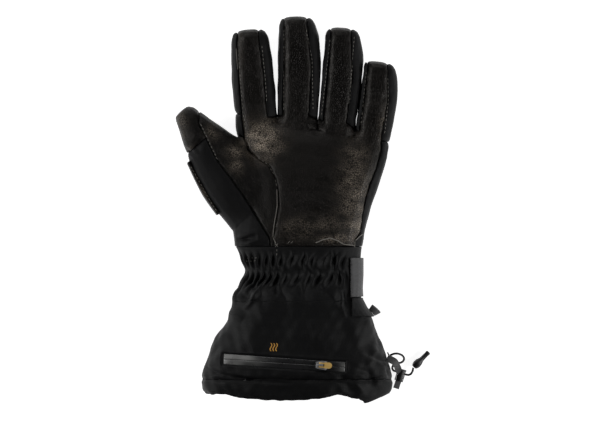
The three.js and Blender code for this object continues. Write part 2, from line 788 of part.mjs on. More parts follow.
// A flat strip along a curve, with its width along one direction
function strip(points, widthWay, width, thickness, steps = 8) {
  const curve = new THREE.CatmullRomCurve3(points);
  const rings = Array.from({ length: steps + 1 }, (_, i) => {
    const [point, way] = [curve.getPointAt(i / steps), curve.getTangentAt(i / steps)];
    const across = widthWay.clone().addScaledVector(way, -widthWay.dot(way)).normalize();
    const up = new THREE.Vector3().crossVectors(across, way);
    const corner = (u, v) =>
      point.clone().addScaledVector(across, (u * width) / 2).addScaledVector(up, (v * thickness) / 2);
    return [corner(-1, -1), corner(1, -1), corner(1, 1), corner(-1, 1)];
  });
  return loft(rings);
}

// The zip's slider, with an arch that the puller hangs on. Its origin lies on the tapes, and the
// puller's axis crosses the zip at pullerAxis.
const pullerAxis = { u: -0.18 * sliderLength, height: sliderHeight + pullerClearance + pullerThickness / 2 };
const archTop = pullerAxis.height + pullerThickness / 2 + pullerClearance;
const archFrom = pullerAxis.u - pullerThickness / 2 - pullerClearance;
const archTo = pullerAxis.u + pullerThickness / 2 + archReach;
function makeSlider() {
  const body = prism(
    [
      new THREE.Vector2(-0.5 * sliderLength, -0.32 * sliderWidth),
      new THREE.Vector2(-0.3 * sliderLength, -0.4 * sliderWidth),
      new THREE.Vector2(0.42 * sliderLength, -0.5 * sliderWidth),
      new THREE.Vector2(0.5 * sliderLength, -0.36 * sliderWidth),
      new THREE.Vector2(0.5 * sliderLength, 0.36 * sliderWidth),
      new THREE.Vector2(0.42 * sliderLength, 0.5 * sliderWidth),
      new THREE.Vector2(-0.3 * sliderLength, 0.4 * sliderWidth),
      new THREE.Vector2(-0.5 * sliderLength, 0.32 * sliderWidth),
    ],
    0,
    sliderHeight,
  );
  const arch = prism(
    rectangle(archFrom - archThickness, archTo + archThickness, -archWidth / 2, archWidth / 2),
    sliderHeight / 2,
    archTop + archThickness,
  );
  const opening = prism(rectangle(archFrom, archTo, -archWidth, archWidth), sliderHeight, archTop);
  return body.add(arch.subtract(opening));
}

// The puller, with its origin on its axis: a bar under the arch, a frame round it and a tab beyond
function makePuller() {
  const bar = pullerThickness / 2;
  const archLength = archTo + archThickness - pullerAxis.u;
  const windowEnd = Math.hypot(archLength, archTop + archThickness - pullerAxis.height);
  const frameEnd = windowEnd + 2 * pullerClearance;
  const windowHalf = archWidth / 2 + pullerClearance;
  const frame = prism(
    rectangle(-bar, frameEnd + bar, -windowHalf - pullerThickness, windowHalf + pullerThickness),
    -bar,
    bar,
  ).subtract(prism(rectangle(bar, frameEnd, -windowHalf, windowHalf), -sliderHeight, sliderHeight));
  const tab = prism(
    capsule(pullerTabLength + pullerWidth / 2, pullerWidth).map((point) =>
      point.clone().add(new THREE.Vector2(frameEnd + bar + pullerTabLength / 2 - pullerWidth / 4, 0)),
    ),
    -bar,
    bar,
  );
  const neck = prism(rectangle(frameEnd, frameEnd + bar, -windowHalf, windowHalf), -bar, bar);
  const clearOfWindow = prism(
    rectangle(frameEnd + bar / 2, 4 * frameEnd, -pullerWidth, pullerWidth),
    -pullerThickness,
    pullerThickness,
  );
  return frame.add(neck).add(tab.intersect(clearOfWindow));
}

// The cord lock, along Y: a barrel with a sprung button in it, and a hole for the cord through both.
// Its origin is the middle of the barrel's underside.
const lockMiddle = lockHeight / 2;
const corded = cordDiameter + 2 * cordClearance;
function makeBarrel() {
  const round = new THREE.CylinderGeometry(lockHeight / 2, lockHeight / 2, lockLength, 14);
  const body = solid(round.scale(lockWidth / lockHeight, 1, 1).translate(0, 0, lockMiddle));
  const bore = block(
    new THREE.Vector3(buttonWidth + 2 * buttonClearance, lockLength, buttonHeight + 2 * buttonClearance),
    new THREE.Vector3(0, -lockEndWall, lockMiddle),
  );
  const hole = block(
    new THREE.Vector3(2 * lockWidth, corded, corded),
    new THREE.Vector3(0, lockHoleAt, lockMiddle),
  );
  return body.subtract(bore).subtract(hole);
}
function makeButton() {
  const stemTop = lockLength / 2 - lockEndWall - buttonClearance - buttonTravel;
  const length = stemTop + lockLength / 2 + buttonReach;
  const stem = block(
    new THREE.Vector3(buttonWidth, length, buttonHeight),
    new THREE.Vector3(0, stemTop - length / 2, lockMiddle),
  );
  const slot = block(
    new THREE.Vector3(2 * lockWidth, corded + buttonTravel, corded),
    new THREE.Vector3(0, lockHoleAt - buttonTravel / 2, lockMiddle),
  );
  return stem.subtract(slot);
}

// The moulded end on the cord's tail, as a turned profile from the cord outwards
const cordEndProfile = [
  { along: 0, radius: 0.5 },
  { along: 0.06, radius: 0.8 },
  { along: 0.2, radius: 1.0 },
  { along: 0.36, radius: 0.9 },
  { along: 0.52, radius: 0.6 },
  { along: 0.8, radius: 0.55 },
  { along: 0.95, radius: 0.62 },
  { along: 1, radius: 0.4 },
];
function makeCordEnd() {
  const profile = [
    new THREE.Vector2(0, 0),
    ...cordEndProfile.map((row) => new THREE.Vector2(row.radius * cordEndRadius, row.along * cordEndLength)),
    new THREE.Vector2(0, cordEndLength),
  ];
  return new THREE.LatheGeometry(profile, 10);
}

// A cord through its points, with a step every two diameters
function makeCord(points) {
  const curve = new THREE.CatmullRomCurve3(points);
  const section = new THREE.Shape();
  section.absarc(0, 0, cordDiameter / 2, 0, 2 * Math.PI);
  const steps = Math.ceil(curve.getLength() / (2 * cordDiameter));
  return new THREE.ExtrudeGeometry(section, {
    steps,
    curveSegments: 4,
    bevelEnabled: false,
    extrudePath: curve,
  });
}

// Building the glove's tree
const glove = new THREE.Group();
function add(name, body, finish, parent = glove) {
  const geometry = body.isBufferGeometry ? body : toGeometry(body);
  const mesh = new THREE.Mesh(geometry, new THREE.MeshStandardMaterial(finishes[finish]));
  mesh.name = name;
  parent.add(mesh);
  return mesh;
}
add("palm_leather", palmLeather, "leather");
add("hand_back", handBack, "shell");
fingers.forEach((finger) => add("finger_" + finger.name, fingerBack(finger), "shell"));
add("thumb_leather", thumbLeather, "leather");
add("thumb_tip", thumbTipCap, "leather");
add("thumb_back", thumbBack, "shell");
add("thumb_patch", thumbPatch, "leather");
add("wrist_gather", wristGather, "shell");
add("wrist_strap", wristStrap, "strap");
add("cord_tunnel", cordTunnel, "shell");
add("cuff", cuff, "shell");
add("hem_band", hemBand, "shell");
add("zip_tape_upper", zipTape(1), "coating");
add("zip_tape_lower", zipTape(-1), "coating");

// The slider lies on the tapes at its share of the zip, square to the cuff there
const sliderPlan = new THREE.Vector2(sliderAt * zipLength, 0)
  .rotateAround(new THREE.Vector2(), radians(zipAngle))
  .add(zipCentre);
const slopeAlong = (dx, dy) =>
  (cuffTop(sliderPlan.x + dx, sliderPlan.y + dy) - cuffTop(sliderPlan.x - dx, sliderPlan.y - dy)) /
  (2 * slopeStep);
const cuffSlope = { x: slopeAlong(slopeStep, 0), y: slopeAlong(0, slopeStep) };
const cuffNormal = new THREE.Vector3(-cuffSlope.x, -cuffSlope.y, 1).normalize();
const zipPull = new THREE.Group();
zipPull.quaternion
  .setFromUnitVectors(new THREE.Vector3(0, 0, 1), cuffNormal)
  .multiply(new THREE.Quaternion().setFromAxisAngle(new THREE.Vector3(0, 0, 1), radians(zipAngle)));
const tapeTop = -zipRecess + seamGap + zipTapeThickness;
zipPull.position
  .set(sliderPlan.x, sliderPlan.y, cuffTop(sliderPlan.x, sliderPlan.y))
  .addScaledVector(cuffNormal, tapeTop + sliderClearance);
glove.add(zipPull);
add("zip_slider", makeSlider(), "steel", zipPull);
const puller = add("zip_puller", makePuller(), "gilt", zipPull);
puller.position.set(pullerAxis.u, 0, pullerAxis.height);

// The cord, its lock, its end and the tab keep their places along the cuff from the eyelet
const eyeletAlong = -0.675 * cuffLength;
const fromEyelet = (x, y, z) => new THREE.Vector3(x, eyeletAlong + y, z);

// The cord lock lies on the table beside the hem
const lock = new THREE.Group();
lock.position.copy(fromEyelet(81.4, -16.225, seamGap));
lock.rotation.z = radians(lockAngle);
glove.add(lock);
lock.updateMatrixWorld(true);
const atLock = (x, y) => new THREE.Vector3(x, y, lockMiddle).applyMatrix4(lock.matrixWorld);
add("cord_lock", makeBarrel(), "plastic", lock);
add("lock_button", makeButton(), "greyPlastic", lock);

// The hem's cord comes out of an eyelet on the side of the cuff
const cuffSide = (y) => armSection(y).middle + armSection(y).halfWidth;
const sideSlope =
  (cuffSide(eyeletAlong + slopeStep) - cuffSide(eyeletAlong - slopeStep)) / (2 * slopeStep);
const sideNormal = new THREE.Vector3(1, -sideSlope, 0).normalize();
const eyeletAt = (out) =>
  new THREE.Vector3(cuffSide(eyeletAlong), eyeletAlong, armSection(eyeletAlong).height).addScaledVector(
    sideNormal,
    out,
  );
const eyeletRing = new THREE.LatheGeometry(
  rectangle(cordDiameter / 2 + seamGap, eyeletRadius, 0, eyeletThickness).concat(
    new THREE.Vector2(cordDiameter / 2 + seamGap, 0),
  ),
  14,
);
const eyelet = add("cord_eyelet", eyeletRing, "plastic");
eyelet.position.copy(eyeletAt(2 * seamGap));
eyelet.quaternion.setFromUnitVectors(new THREE.Vector3(0, 1, 0), sideNormal);

// Out of the eyelet, round under the tab, through the lock and up to the moulded end
const cordEndStart = fromEyelet(92.2, -10.025, cordEndRadius + seamGap);
const hemCordRoute = [
  eyeletAt(3 * seamGap + eyeletThickness),
  fromEyelet(76.6, 2.275, 29.3),
  fromEyelet(81, 1.575, 25.6),
  fromEyelet(83.8, -0.725, 19.6),
  fromEyelet(84, -3.625, 12.6),
  fromEyelet(81.6, -5.725, 6.6),
  fromEyelet(77.8, -6.425, 3.6),
  fromEyelet(74.9, -8.825, 2.6),
  fromEyelet(75.2, -11.925, 3.2),
  atLock(-lockWidth / 2 - seamGap, lockHoleAt),
  atLock(0, lockHoleAt),
  atLock(lockWidth / 2 + seamGap, lockHoleAt),
  fromEyelet(88.9, -15.925, 3.9),
  fromEyelet(91.2, -13.825, 3.9),
  cordEndStart.clone(),
];
add("hem_cord", makeCord(hemCordRoute), "cord");
const cordEndWay = new THREE.Vector3(0.7, 0.714, 0).normalize();
const cordEnd = add("cord_end", makeCordEnd(), "plastic");
cordEnd.position.copy(cordEndStart).addScaledVector(cordEndWay, 2 * seamGap);
cordEnd.quaternion.setFromUnitVectors(new THREE.Vector3(0, 1, 0), cordEndWay);

// A webbing tab runs down from the cuff to the lock, and a short one hangs out of the wrist's tunnel
const besideCuff = (out, y, z) => new THREE.Vector3(cuffSide(y) + out, y, z);
const cordTabRoute = [
  besideCuff(-1.2, eyeletAlong - 1.225, 43.4),
  besideCuff(3.4, eyeletAlong - 3.825, 37),
  besideCuff(4.6, eyeletAlong - 7.225, 25),
  besideCuff(5.3, eyeletAlong - 10.425, 14.6),
  besideCuff(6.1, eyeletAlong - 13.425, 9.6),
];
const cordTab = strip(cordTabRoute, new THREE.Vector3(0.55, 0.83, 0), cordTabWidth, cordTabThickness);
add("cord_tab", cordTab, "strap");
const pullTabRoute = [
  besideCuff(4.9, -26.6, 25),
  besideCuff(6.3, -29.2, 25.4),
  besideCuff(6.5, -32.4, 22.6),
];
const pullTab = strip(pullTabRoute, new THREE.Vector3(0.5, 0.6, 0.5), pullTabWidth, pullTabThickness, 4);
add("pull_tab", pullTab, "greyPlastic");

// The origin goes under the middle of the glove, without its free cord and what is on that
glove.updateMatrixWorld(true);
const onCord = ["hem_cord", "cord_lock", "lock_button", "cord_end"];
const box = new THREE.Box3();
glove.traverse((piece) => {
  if (piece.isMesh && !onCord.includes(piece.name)) box.expandByObject(piece, true);
});
glove.position.set(-(box.min.x + box.max.x) / 2, -(box.min.y + box.max.y) / 2, -box.min.z);

export default glove;
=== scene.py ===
# %% [markdown]
# A padded winter glove with a heater pocket lies on its back, palm up, and is seen from straight above.
# The frame holds its solids at their real size. This lesson dresses them: rounded and sewn panels on the
# hand, gathered cloth at the wrist, a cuff with a coated zip and a hem cord, and the finish of each.

# %% Load the frame
import math

import bmesh
import bpy
import numpy as np
from mathutils import Matrix, Vector
from mathutils.bvhtree import BVHTree
from mathutils.kdtree import KDTree


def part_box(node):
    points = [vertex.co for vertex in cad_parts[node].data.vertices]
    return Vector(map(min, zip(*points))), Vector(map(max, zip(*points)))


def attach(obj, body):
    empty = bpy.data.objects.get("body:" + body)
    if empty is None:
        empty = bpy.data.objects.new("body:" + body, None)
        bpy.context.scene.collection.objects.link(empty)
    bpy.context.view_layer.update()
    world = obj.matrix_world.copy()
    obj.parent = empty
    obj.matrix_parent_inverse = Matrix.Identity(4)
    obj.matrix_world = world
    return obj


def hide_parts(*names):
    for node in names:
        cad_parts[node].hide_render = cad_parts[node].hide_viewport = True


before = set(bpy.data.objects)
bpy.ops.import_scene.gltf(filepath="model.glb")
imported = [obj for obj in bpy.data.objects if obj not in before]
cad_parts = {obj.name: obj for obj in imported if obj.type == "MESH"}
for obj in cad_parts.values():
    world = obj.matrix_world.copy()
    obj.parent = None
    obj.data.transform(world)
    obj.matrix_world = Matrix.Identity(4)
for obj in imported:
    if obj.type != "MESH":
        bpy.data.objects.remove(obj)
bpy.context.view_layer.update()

MM = 0.001

# %% [markdown]
# The photograph looks straight down, so a pixel stands for a place on the table. One helper turns a pixel
# into metres, and every crease or stitch that was read off the picture goes through it. A long lens far
# above the table keeps the sides of the fingers from leaning outwards.

# %% Camera over the table
PIXEL = 0.84 * MM
ORIGIN_PIXEL = (288.89, 210.57)
IMAGE_SIZE = (600, 440)
CAMERA_HEIGHT = 6.0


def on_table(px, py):
    return (px - ORIGIN_PIXEL[0]) * PIXEL, (ORIGIN_PIXEL[1] - py) * PIXEL


def add_object(name, data):
    thing = bpy.data.objects.new(name, data)
    bpy.context.scene.collection.objects.link(thing)
    return thing


lens = bpy.data.cameras.new("camera")
lens.lens = lens.sensor_width * CAMERA_HEIGHT / (IMAGE_SIZE[0] * PIXEL)
lens.clip_end = 4 * CAMERA_HEIGHT
camera = add_object("camera", lens)
camera.location = (*on_table(IMAGE_SIZE[0] / 2, IMAGE_SIZE[1] / 2), CAMERA_HEIGHT)
bpy.context.scene.camera = camera
print("camera", [round(v, 4) for v in camera.location], "lens", round(lens.lens, 1))

# %% [markdown]
# Every finished piece enters the scene in the same way: it is linked, given its finishes, shaded smooth and
# told which moving body it belongs to, and the plain solids it replaces are hidden.

# %% Enter a piece
MERGE = 0.002 * MM


def mesh_from(bm, name):
    mesh = bpy.data.meshes.new(name)
    bm.to_mesh(mesh)
    bm.free()
    return mesh


def enter(name, mesh, finishes, nodes=(), body="glove"):
    piece = add_object(name, mesh)
    mesh.materials.clear()
    for finish in finishes:
        mesh.materials.append(finish)
    mesh.shade_smooth()
    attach(piece, body)
    if nodes:
        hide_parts(*nodes)
    print(name, len(mesh.polygons), "faces")
    return piece


def evaluated(piece):
    graph = bpy.context.evaluated_depsgraph_get()
    return bpy.data.meshes.new_from_object(piece.evaluated_get(graph))


# %% [markdown]
# Finishes that several materials share are node groups. The pebbled grain of leather is a net of creases
# between small cells, the weave is a crossing of two sets of threads, and wear is a slow cloudy mask.
# Each puts out heights and masks only, so the shader itself stays in the material.

# %% Node helpers
def add_node(tree, kind, sockets=None, **settings):
    node = tree.nodes.new(kind)
    for key, value in settings.items():
        setattr(node, key, value)
    for key, value in (sockets or {}).items():
        if isinstance(value, bpy.types.NodeSocket):
            tree.links.new(value, node.inputs[key])
        else:
            node.inputs[key].default_value = value
    return node


def add_math(tree, operation, a, b=0.0, c=0.0):
    sockets = {0: a, 1: b, 2: c}
    return add_node(tree, "ShaderNodeMath", sockets, operation=operation).outputs[0]


def add_noise(tree, vector, scale, detail, roughness=0.5):
    sockets = {"Vector": vector, "Scale": scale, "Detail": detail, "Roughness": roughness}
    return add_node(tree, "ShaderNodeTexNoise", sockets).outputs["Fac"]


def new_group(name, inputs, outputs):
    group = bpy.data.node_groups.new(name, "ShaderNodeTree")
    for title, kind, value in inputs:
        socket = group.interface.new_socket(title, in_out="INPUT", socket_type=kind)
        if value is not None:
            socket.default_value = value
    for title, kind in outputs:
        group.interface.new_socket(title, in_out="OUTPUT", socket_type=kind)
    entry = group.nodes.new("NodeGroupInput")
    return group, entry.outputs, group.nodes.new("NodeGroupOutput").inputs


# %% Pebbled grain of the leather
def make_grain():
    group, given, result = new_group(
        "leather grain",
        [("Vector", "NodeSocketVector", None), ("Cells", "NodeSocketFloat", 700.0)],
        [("Height", "NodeSocketFloat"), ("Crease", "NodeSocketFloat"), ("Cloud", "NodeSocketFloat")],
    )
    cells = add_node(
        group, "ShaderNodeTexVoronoi",
        {"Vector": given["Vector"], "Scale": given["Cells"], "Randomness": 0.9},
        feature="DISTANCE_TO_EDGE",
    )
    crease = add_node(
        group, "ShaderNodeMapRange",
        {"Value": cells.outputs["Distance"], "From Min": 0.0, "From Max": 0.22},
        interpolation_type="SMOOTHERSTEP",
    )
    pores = add_noise(group, given["Vector"], 2600.0, 3.0, 0.6)
    cloud = add_noise(group, given["Vector"], 42.0, 3.0, 0.55)
    rough_skin = add_math(group, "MULTIPLY", pores, 0.35)
    group.links.new(add_math(group, "ADD", crease.outputs["Result"], rough_skin), result["Height"])
    group.links.new(crease.outputs["Result"], result["Crease"])
    group.links.new(cloud, result["Cloud"])
    return group


grain = make_grain()
print("group", grain.name)


# %% Threads of the woven cloths
def make_weave():
    group, given, result = new_group(
        "woven threads",
        [("Vector", "NodeSocketVector", None), ("Threads", "NodeSocketFloat", 1400.0)],
        [("Height", "NodeSocketFloat"), ("Cloud", "NodeSocketFloat")],
    )
    waves = []
    for direction in ("X", "Y"):
        wave = add_node(
            group, "ShaderNodeTexWave",
            {"Vector": given["Vector"], "Scale": given["Threads"], "Distortion": 0.4, "Detail": 1.0},
            wave_type="BANDS", bands_direction=direction, wave_profile="SIN",
        )
        waves.append(wave.outputs["Fac"])
    lint = add_noise(group, given["Vector"], 900.0, 4.0, 0.65)
    crossed = add_math(group, "MAXIMUM", waves[0], waves[1])
    soft = add_math(group, "MULTIPLY_ADD", lint, 0.6, crossed)
    cloud = add_noise(group, given["Vector"], 30.0, 4.0, 0.6)
    group.links.new(soft, result["Height"])
    group.links.new(cloud, result["Cloud"])
    return group


weave = make_weave()
print("group", weave.name)

# %% [markdown]
# The shell is matt, nearly black cloth. The leather is black too, and at the places where it turns towards
# the soft boxes a warm, lighter painted highlight is mixed into its colour, broken up by the creases of the
# grain. The painted highlights are a mask that the meshes carry. Other base colours are far below a tenth,
# because black cloth sends back almost nothing.

# %% Materials
# Colours of the painted highlights: warm on the leather, grey on the zip tapes.
PAINTED_HIGHLIGHT_COLOUR = (0.4, 0.335, 0.265)
TAPE_HIGHLIGHT_COLOUR = (0.3, 0.3, 0.29)


def new_material(name, colour, roughness, specular=0.5, **constants):
    finish = bpy.data.materials.new(name)
    finish.use_nodes = True
    shader = finish.node_tree.nodes["Principled BSDF"]
    shader.inputs["Base Color"].default_value = (*colour, 1.0)
    shader.inputs["Roughness"].default_value = roughness
    shader.inputs["Specular IOR Level"].default_value = specular
    for key, value in constants.items():
        shader.inputs[key.replace("_", " ")].default_value = value
    return finish, finish.node_tree, shader


def place(tree, kind="Object"):
    return tree.nodes.new("ShaderNodeTexCoord").outputs[kind]


def tint(tree, shader, factor, dark, light):
    """Mixes two base colours by a mask. The dark one may be the result of an earlier mix."""
    first = dark if isinstance(dark, bpy.types.NodeSocket) else (*dark, 1.0)
    mix = add_node(
        tree, "ShaderNodeMix", {"Factor": factor, "A": first, "B": (*light, 1.0)}, data_type="RGBA"
    )
    tree.links.new(mix.outputs["Result"], shader.inputs["Base Color"])
    return mix.outputs["Result"]


# Painted highlight: a mask stored on the meshes that says where a lighter colour is painted in.
def painted_highlight_mask(tree):
    return add_node(tree, "ShaderNodeAttribute", attribute_name="painted_highlight").outputs["Fac"]


def rough_between(tree, shader, factor, low, high):
    spread = add_node(
        tree, "ShaderNodeMapRange",
        {"Value": factor, "From Min": 0.25, "From Max": 0.75, "To Min": low, "To Max": high},
    )
    tree.links.new(spread.outputs["Result"], shader.inputs["Roughness"])


def bump(tree, shader, height, depth, strength=1.0):
    node = add_node(
        tree, "ShaderNodeBump", {"Height": height, "Distance": depth, "Strength": strength}
    )
    tree.links.new(node.outputs["Normal"], shader.inputs["Normal"])


def make_leather(name, dark, light, cells, low, high, depth, specular):
    finish, tree, shader = new_material(
        name, dark, low, specular, Specular_Tint=(1.0, 0.95, 0.9, 1.0)
    )
    skin = add_node(tree, "ShaderNodeGroup", node_tree=grain)
    tree.links.new(place(tree), skin.inputs["Vector"])
    skin.inputs["Cells"].default_value = cells
    base = tint(tree, shader, skin.outputs["Cloud"], dark, light)
    # Painted highlight in a warm colour, broken up by the grain's creases.
    highlight_on_cells = add_math(tree, "MULTIPLY", painted_highlight_mask(tree), skin.outputs["Crease"])
    tint(tree, shader, highlight_on_cells, base, PAINTED_HIGHLIGHT_COLOUR)
    rough_between(tree, shader, skin.outputs["Cloud"], low, high)
    bump(tree, shader, skin.outputs["Height"], depth)
    return finish


def make_cloth(name, dark, light, threads, roughness, depth, kind="Object", specular=0.12):
    finish, tree, shader = new_material(name, dark, roughness, specular)
    cloth = add_node(tree, "ShaderNodeGroup", node_tree=weave)
    tree.links.new(place(tree, kind), cloth.inputs["Vector"])
    cloth.inputs["Threads"].default_value = threads
    tint(tree, shader, cloth.outputs["Cloud"], dark, light)
    bump(tree, shader, cloth.outputs["Height"], depth)
    return finish


palm_leather = make_leather(
    "palm leather", (0.0012, 0.001, 0.0009), (0.0034, 0.0029, 0.0025), 620.0, 0.32, 0.42, 0.12 * MM, 0.24
)
thumb_leather = make_leather(
    "thumb leather", (0.0011, 0.001, 0.001), (0.0026, 0.0024, 0.0023), 760.0, 0.36, 0.46, 0.1 * MM, 0.2
)
hand_cloth = make_cloth(
    "hand softshell", (0.0018, 0.0018, 0.002), (0.0038, 0.0038, 0.0041), 260.0, 0.6, 0.08 * MM,
    specular=0.17,
)
cuff_cloth = make_cloth(
    "cuff softshell", (0.0014, 0.0015, 0.0017), (0.003, 0.0031, 0.0034), 260.0, 0.55, 0.08 * MM, "UV", 0.19
)
lining_cloth = make_cloth(
    "lining fleece", (0.008, 0.008, 0.009), (0.016, 0.016, 0.018), 180.0, 0.9, 0.2 * MM, "UV", 0.1
)
webbing = make_cloth(
    "strap webbing", (0.045, 0.045, 0.046), (0.085, 0.085, 0.087), 110.0, 0.55, 0.22 * MM, "UV", 0.35
)
print("cloths and leathers made")


# %% Hard and coated finishes
CLOUD_SCALE = 160.0


def make_hard(name, dark, light, low, high, metallic=0.0, specular=0.5):
    finish, tree, shader = new_material(name, dark, low, specular, Metallic=metallic)
    cloud = add_noise(tree, place(tree), CLOUD_SCALE, 5.0, 0.6)
    tint(tree, shader, cloud, dark, light)
    rough_between(tree, shader, cloud, low, high)
    bump(tree, shader, add_noise(tree, place(tree), 1800.0, 2.0), 0.02 * MM, 0.6)
    return finish


coated_tape = make_hard(
    "coated zip tape", (0.006, 0.006, 0.0065), (0.014, 0.014, 0.015), 0.24, 0.34, specular=0.7
)
tape_tree = coated_tape.node_tree
tape_shader = tape_tree.nodes["Principled BSDF"]
tape_base = tape_shader.inputs["Base Color"].links[0].from_socket
# Painted highlight on the tapes: grey, strongest at their left end.
tint(tape_tree, tape_shader, painted_highlight_mask(tape_tree), tape_base, TAPE_HIGHLIGHT_COLOUR)
steel = make_hard("dark nickel", (0.3, 0.3, 0.31), (0.5, 0.5, 0.51), 0.35, 0.5, 0.75)
gilt = make_hard("gilt enamel", (0.85, 0.52, 0.14), (0.95, 0.66, 0.24), 0.32, 0.46, 0.5)
black_plastic = make_hard("black nylon", (0.006, 0.006, 0.0065), (0.012, 0.012, 0.013), 0.35, 0.5)
grey_plastic = make_hard("grey nylon", (0.12, 0.12, 0.125), (0.18, 0.18, 0.185), 0.35, 0.5)
# The stitches are real thread; their light colour also paints the highlights along the seams.
stitching_and_seam_highlight = make_hard("stitching with painted seam highlights", (0.12, 0.113, 0.1), (0.24, 0.225, 0.2), 0.4, 0.55)
print_ink = make_hard("ochre print", (0.5, 0.25, 0.045), (0.62, 0.33, 0.07), 0.5, 0.65, specular=0.2)
tab_nylon = make_cloth(
    "tab nylon", (0.12, 0.12, 0.122), (0.2, 0.2, 0.203), 320.0, 0.55, 0.1 * MM, specular=0.3
)
cord_braid = make_cloth(
    "cord braid", (0.004, 0.004, 0.0045), (0.012, 0.012, 0.013), 420.0, 0.6, 0.12 * MM, "UV", 0.35
)
print("hard finishes made")

# %% [markdown]
# The hem cord comes first, because its real length is a fact of the glove. It leaves its eyelet on the
# cuff's side, drops to the table, runs through the cord lock and ends in a moulded tip. A curve through the
# chosen points gives the line, and its mesh carries a map along the cord that the braid follows.

# %% Hem cord
CORD_DIAMETER = 1.8 * MM
CORD_ROUTE = [
    Vector(point) * MM
    for point in (
        (84.573, -120.994, 28.362), (88.79, -119.602, 29.3), (93.19, -120.302, 25.6),
        (95.99, -122.602, 19.6), (96.19, -125.502, 12.6), (93.79, -127.602, 6.6),
        (89.99, -128.302, 3.6), (87.09, -130.702, 2.6), (87.39, -133.802, 3.2),
        (90.3, -135.01, 3.9), (94.19, -136.3, 3.9), (98.08, -137.59, 3.9),
        (101.09, -137.802, 3.9), (103.39, -135.702, 3.9), (104.39, -131.902, 3.9),
    )
]
CORD_STEPS = 6


def curve_mesh(name, points, radius, sides, steps):
    """A round tube along a smooth curve through the points, and the curve's own path."""
    line = bpy.data.curves.new(name, "CURVE")
    line.dimensions = "3D"
    line.bevel_depth = radius
    line.bevel_resolution = sides
    line.resolution_u = steps
    line.use_fill_caps = True
    spline = line.splines.new("BEZIER")
    spline.bezier_points.add(len(points) - 1)
    for knot, point in zip(spline.bezier_points, points):
        knot.co = point
        knot.handle_left_type = knot.handle_right_type = "AUTO"
    holder = add_object(name, line)
    tube = evaluated(holder)
    line.bevel_depth = 0.0
    middle = evaluated(holder)
    path = [vertex.co.copy() for vertex in middle.vertices]
    bpy.data.objects.remove(holder)
    bpy.data.meshes.remove(middle)
    return tube, path


def path_length(path):
    return sum((b - a).length for a, b in zip(path, path[1:]))


cord_mesh, cord_path = curve_mesh("hem_cord_braid", CORD_ROUTE, CORD_DIAMETER / 2, 4, CORD_STEPS)
cord_length = path_length(cord_path)
hem_cord = enter("hem_cord_braid", cord_mesh, [cord_braid], ["hem_cord"])
for loop_uv in cord_mesh.uv_layers[0].data:
    loop_uv.uv = (loop_uv.uv[1] * math.pi * CORD_DIAMETER, loop_uv.uv[0] * cord_length)
print("cord length", round(cord_length / MM, 1), "mm")

# %% [markdown]
# Small hard pieces keep the shape of their solids, with their edges rounded. A copy of the solid is merged,
# because its triangles are loose, and a narrow bevel on its sharp edges catches the light as moulded and
# cast edges do.

# %% Rounded copies of the hard pieces
def merged_copy(*nodes):
    bm = bmesh.new()
    for node in nodes:
        bm.from_mesh(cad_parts[node].data)
    bmesh.ops.remove_doubles(bm, verts=bm.verts, dist=MERGE)
    return bm


def rounded_copy(name, node, finish, width, body="glove", angle=28):
    bm = merged_copy(node)
    bmesh.ops.dissolve_limit(bm, angle_limit=math.radians(1), verts=bm.verts, edges=bm.edges)
    sharp = [
        edge for edge in bm.edges
        if len(edge.link_faces) == 2 and edge.calc_face_angle(0) > math.radians(angle)
    ]
    bmesh.ops.bevel(
        bm, geom=sharp, offset=width, offset_type="OFFSET", affect="EDGES", segments=3,
        profile=0.5, material=-1, clamp_overlap=True,
    )
    bmesh.ops.triangulate(bm, faces=[face for face in bm.faces if len(face.verts) > 4])
    piece = enter(name, mesh_from(bm, name), [finish], [node], body)
    piece.data.set_sharp_from_angle(angle=math.radians(40))
    return piece


lock = rounded_copy("cord_lock_body", "cord_lock", black_plastic, 0.4 * MM)
button = rounded_copy("cord_lock_button", "lock_button", grey_plastic, 0.35 * MM, "button")
tip = rounded_copy("cord_tip", "cord_end", black_plastic, 0.25 * MM)
rounded_copy("cord_eyelet_ring", "cord_eyelet", black_plastic, 0.25 * MM)
rounded_copy("zip_slider_cast", "zip_slider", steel, 0.25 * MM)
rounded_copy("zip_puller_gilt", "zip_puller", gilt, 0.18 * MM, "puller")

# %% [markdown]
# The hand is made of padded panels that meet in seams. Faceted solids hold their places, so the first step
# is a field that says how far each facet has to move to make one smooth skin: all the panels are cast
# together as one fine voxel mesh, which is relaxed, and the difference is kept. The mesh is cut open at the
# wrist, which parts the outside from the hollow.

# %% Helpers for fields on a mesh
def vertex_points(mesh, what="co"):
    values = np.empty(len(mesh.vertices) * 3)
    mesh.vertices.foreach_get(what, values)
    return values.reshape(-1, 3)


def move_vertices(mesh, points):
    mesh.vertices.foreach_set("co", points.ravel())
    mesh.update()


def edge_ends(mesh):
    ends = np.empty(len(mesh.edges) * 2, np.int32)
    mesh.edges.foreach_get("vertices", ends)
    return ends.reshape(-1, 2)


def relaxed(values, ends, rounds, factor=0.5):
    here = np.concatenate([ends[:, 0], ends[:, 1]])
    there = np.concatenate([ends[:, 1], ends[:, 0]])
    count = len(values)
    degree = np.maximum(np.bincount(here, minlength=count), 1)[:, None]
    values = values.copy()
    for _ in range(rounds):
        sums = [np.bincount(here, values[there, k], count) for k in range(values.shape[1])]
        values += factor * (np.stack(sums, axis=1) / degree - values)
    return values


def smooth_step(values, low, high):
    t = np.clip((values - low) / (high - low), 0.0, 1.0)
    return t * t * (3 - 2 * t)


def bell(values, width):
    return np.exp(-((values / width) ** 2))


def tree_of(points):
    tree = KDTree(len(points))
    for index, point in enumerate(points.tolist()):
        tree.insert(point, index)
    tree.balance()
    return tree


def nearest(tree, points):
    found = np.array([tree.find(point)[1:] for point in points.tolist()])
    return found[:, 0].astype(int), found[:, 1]


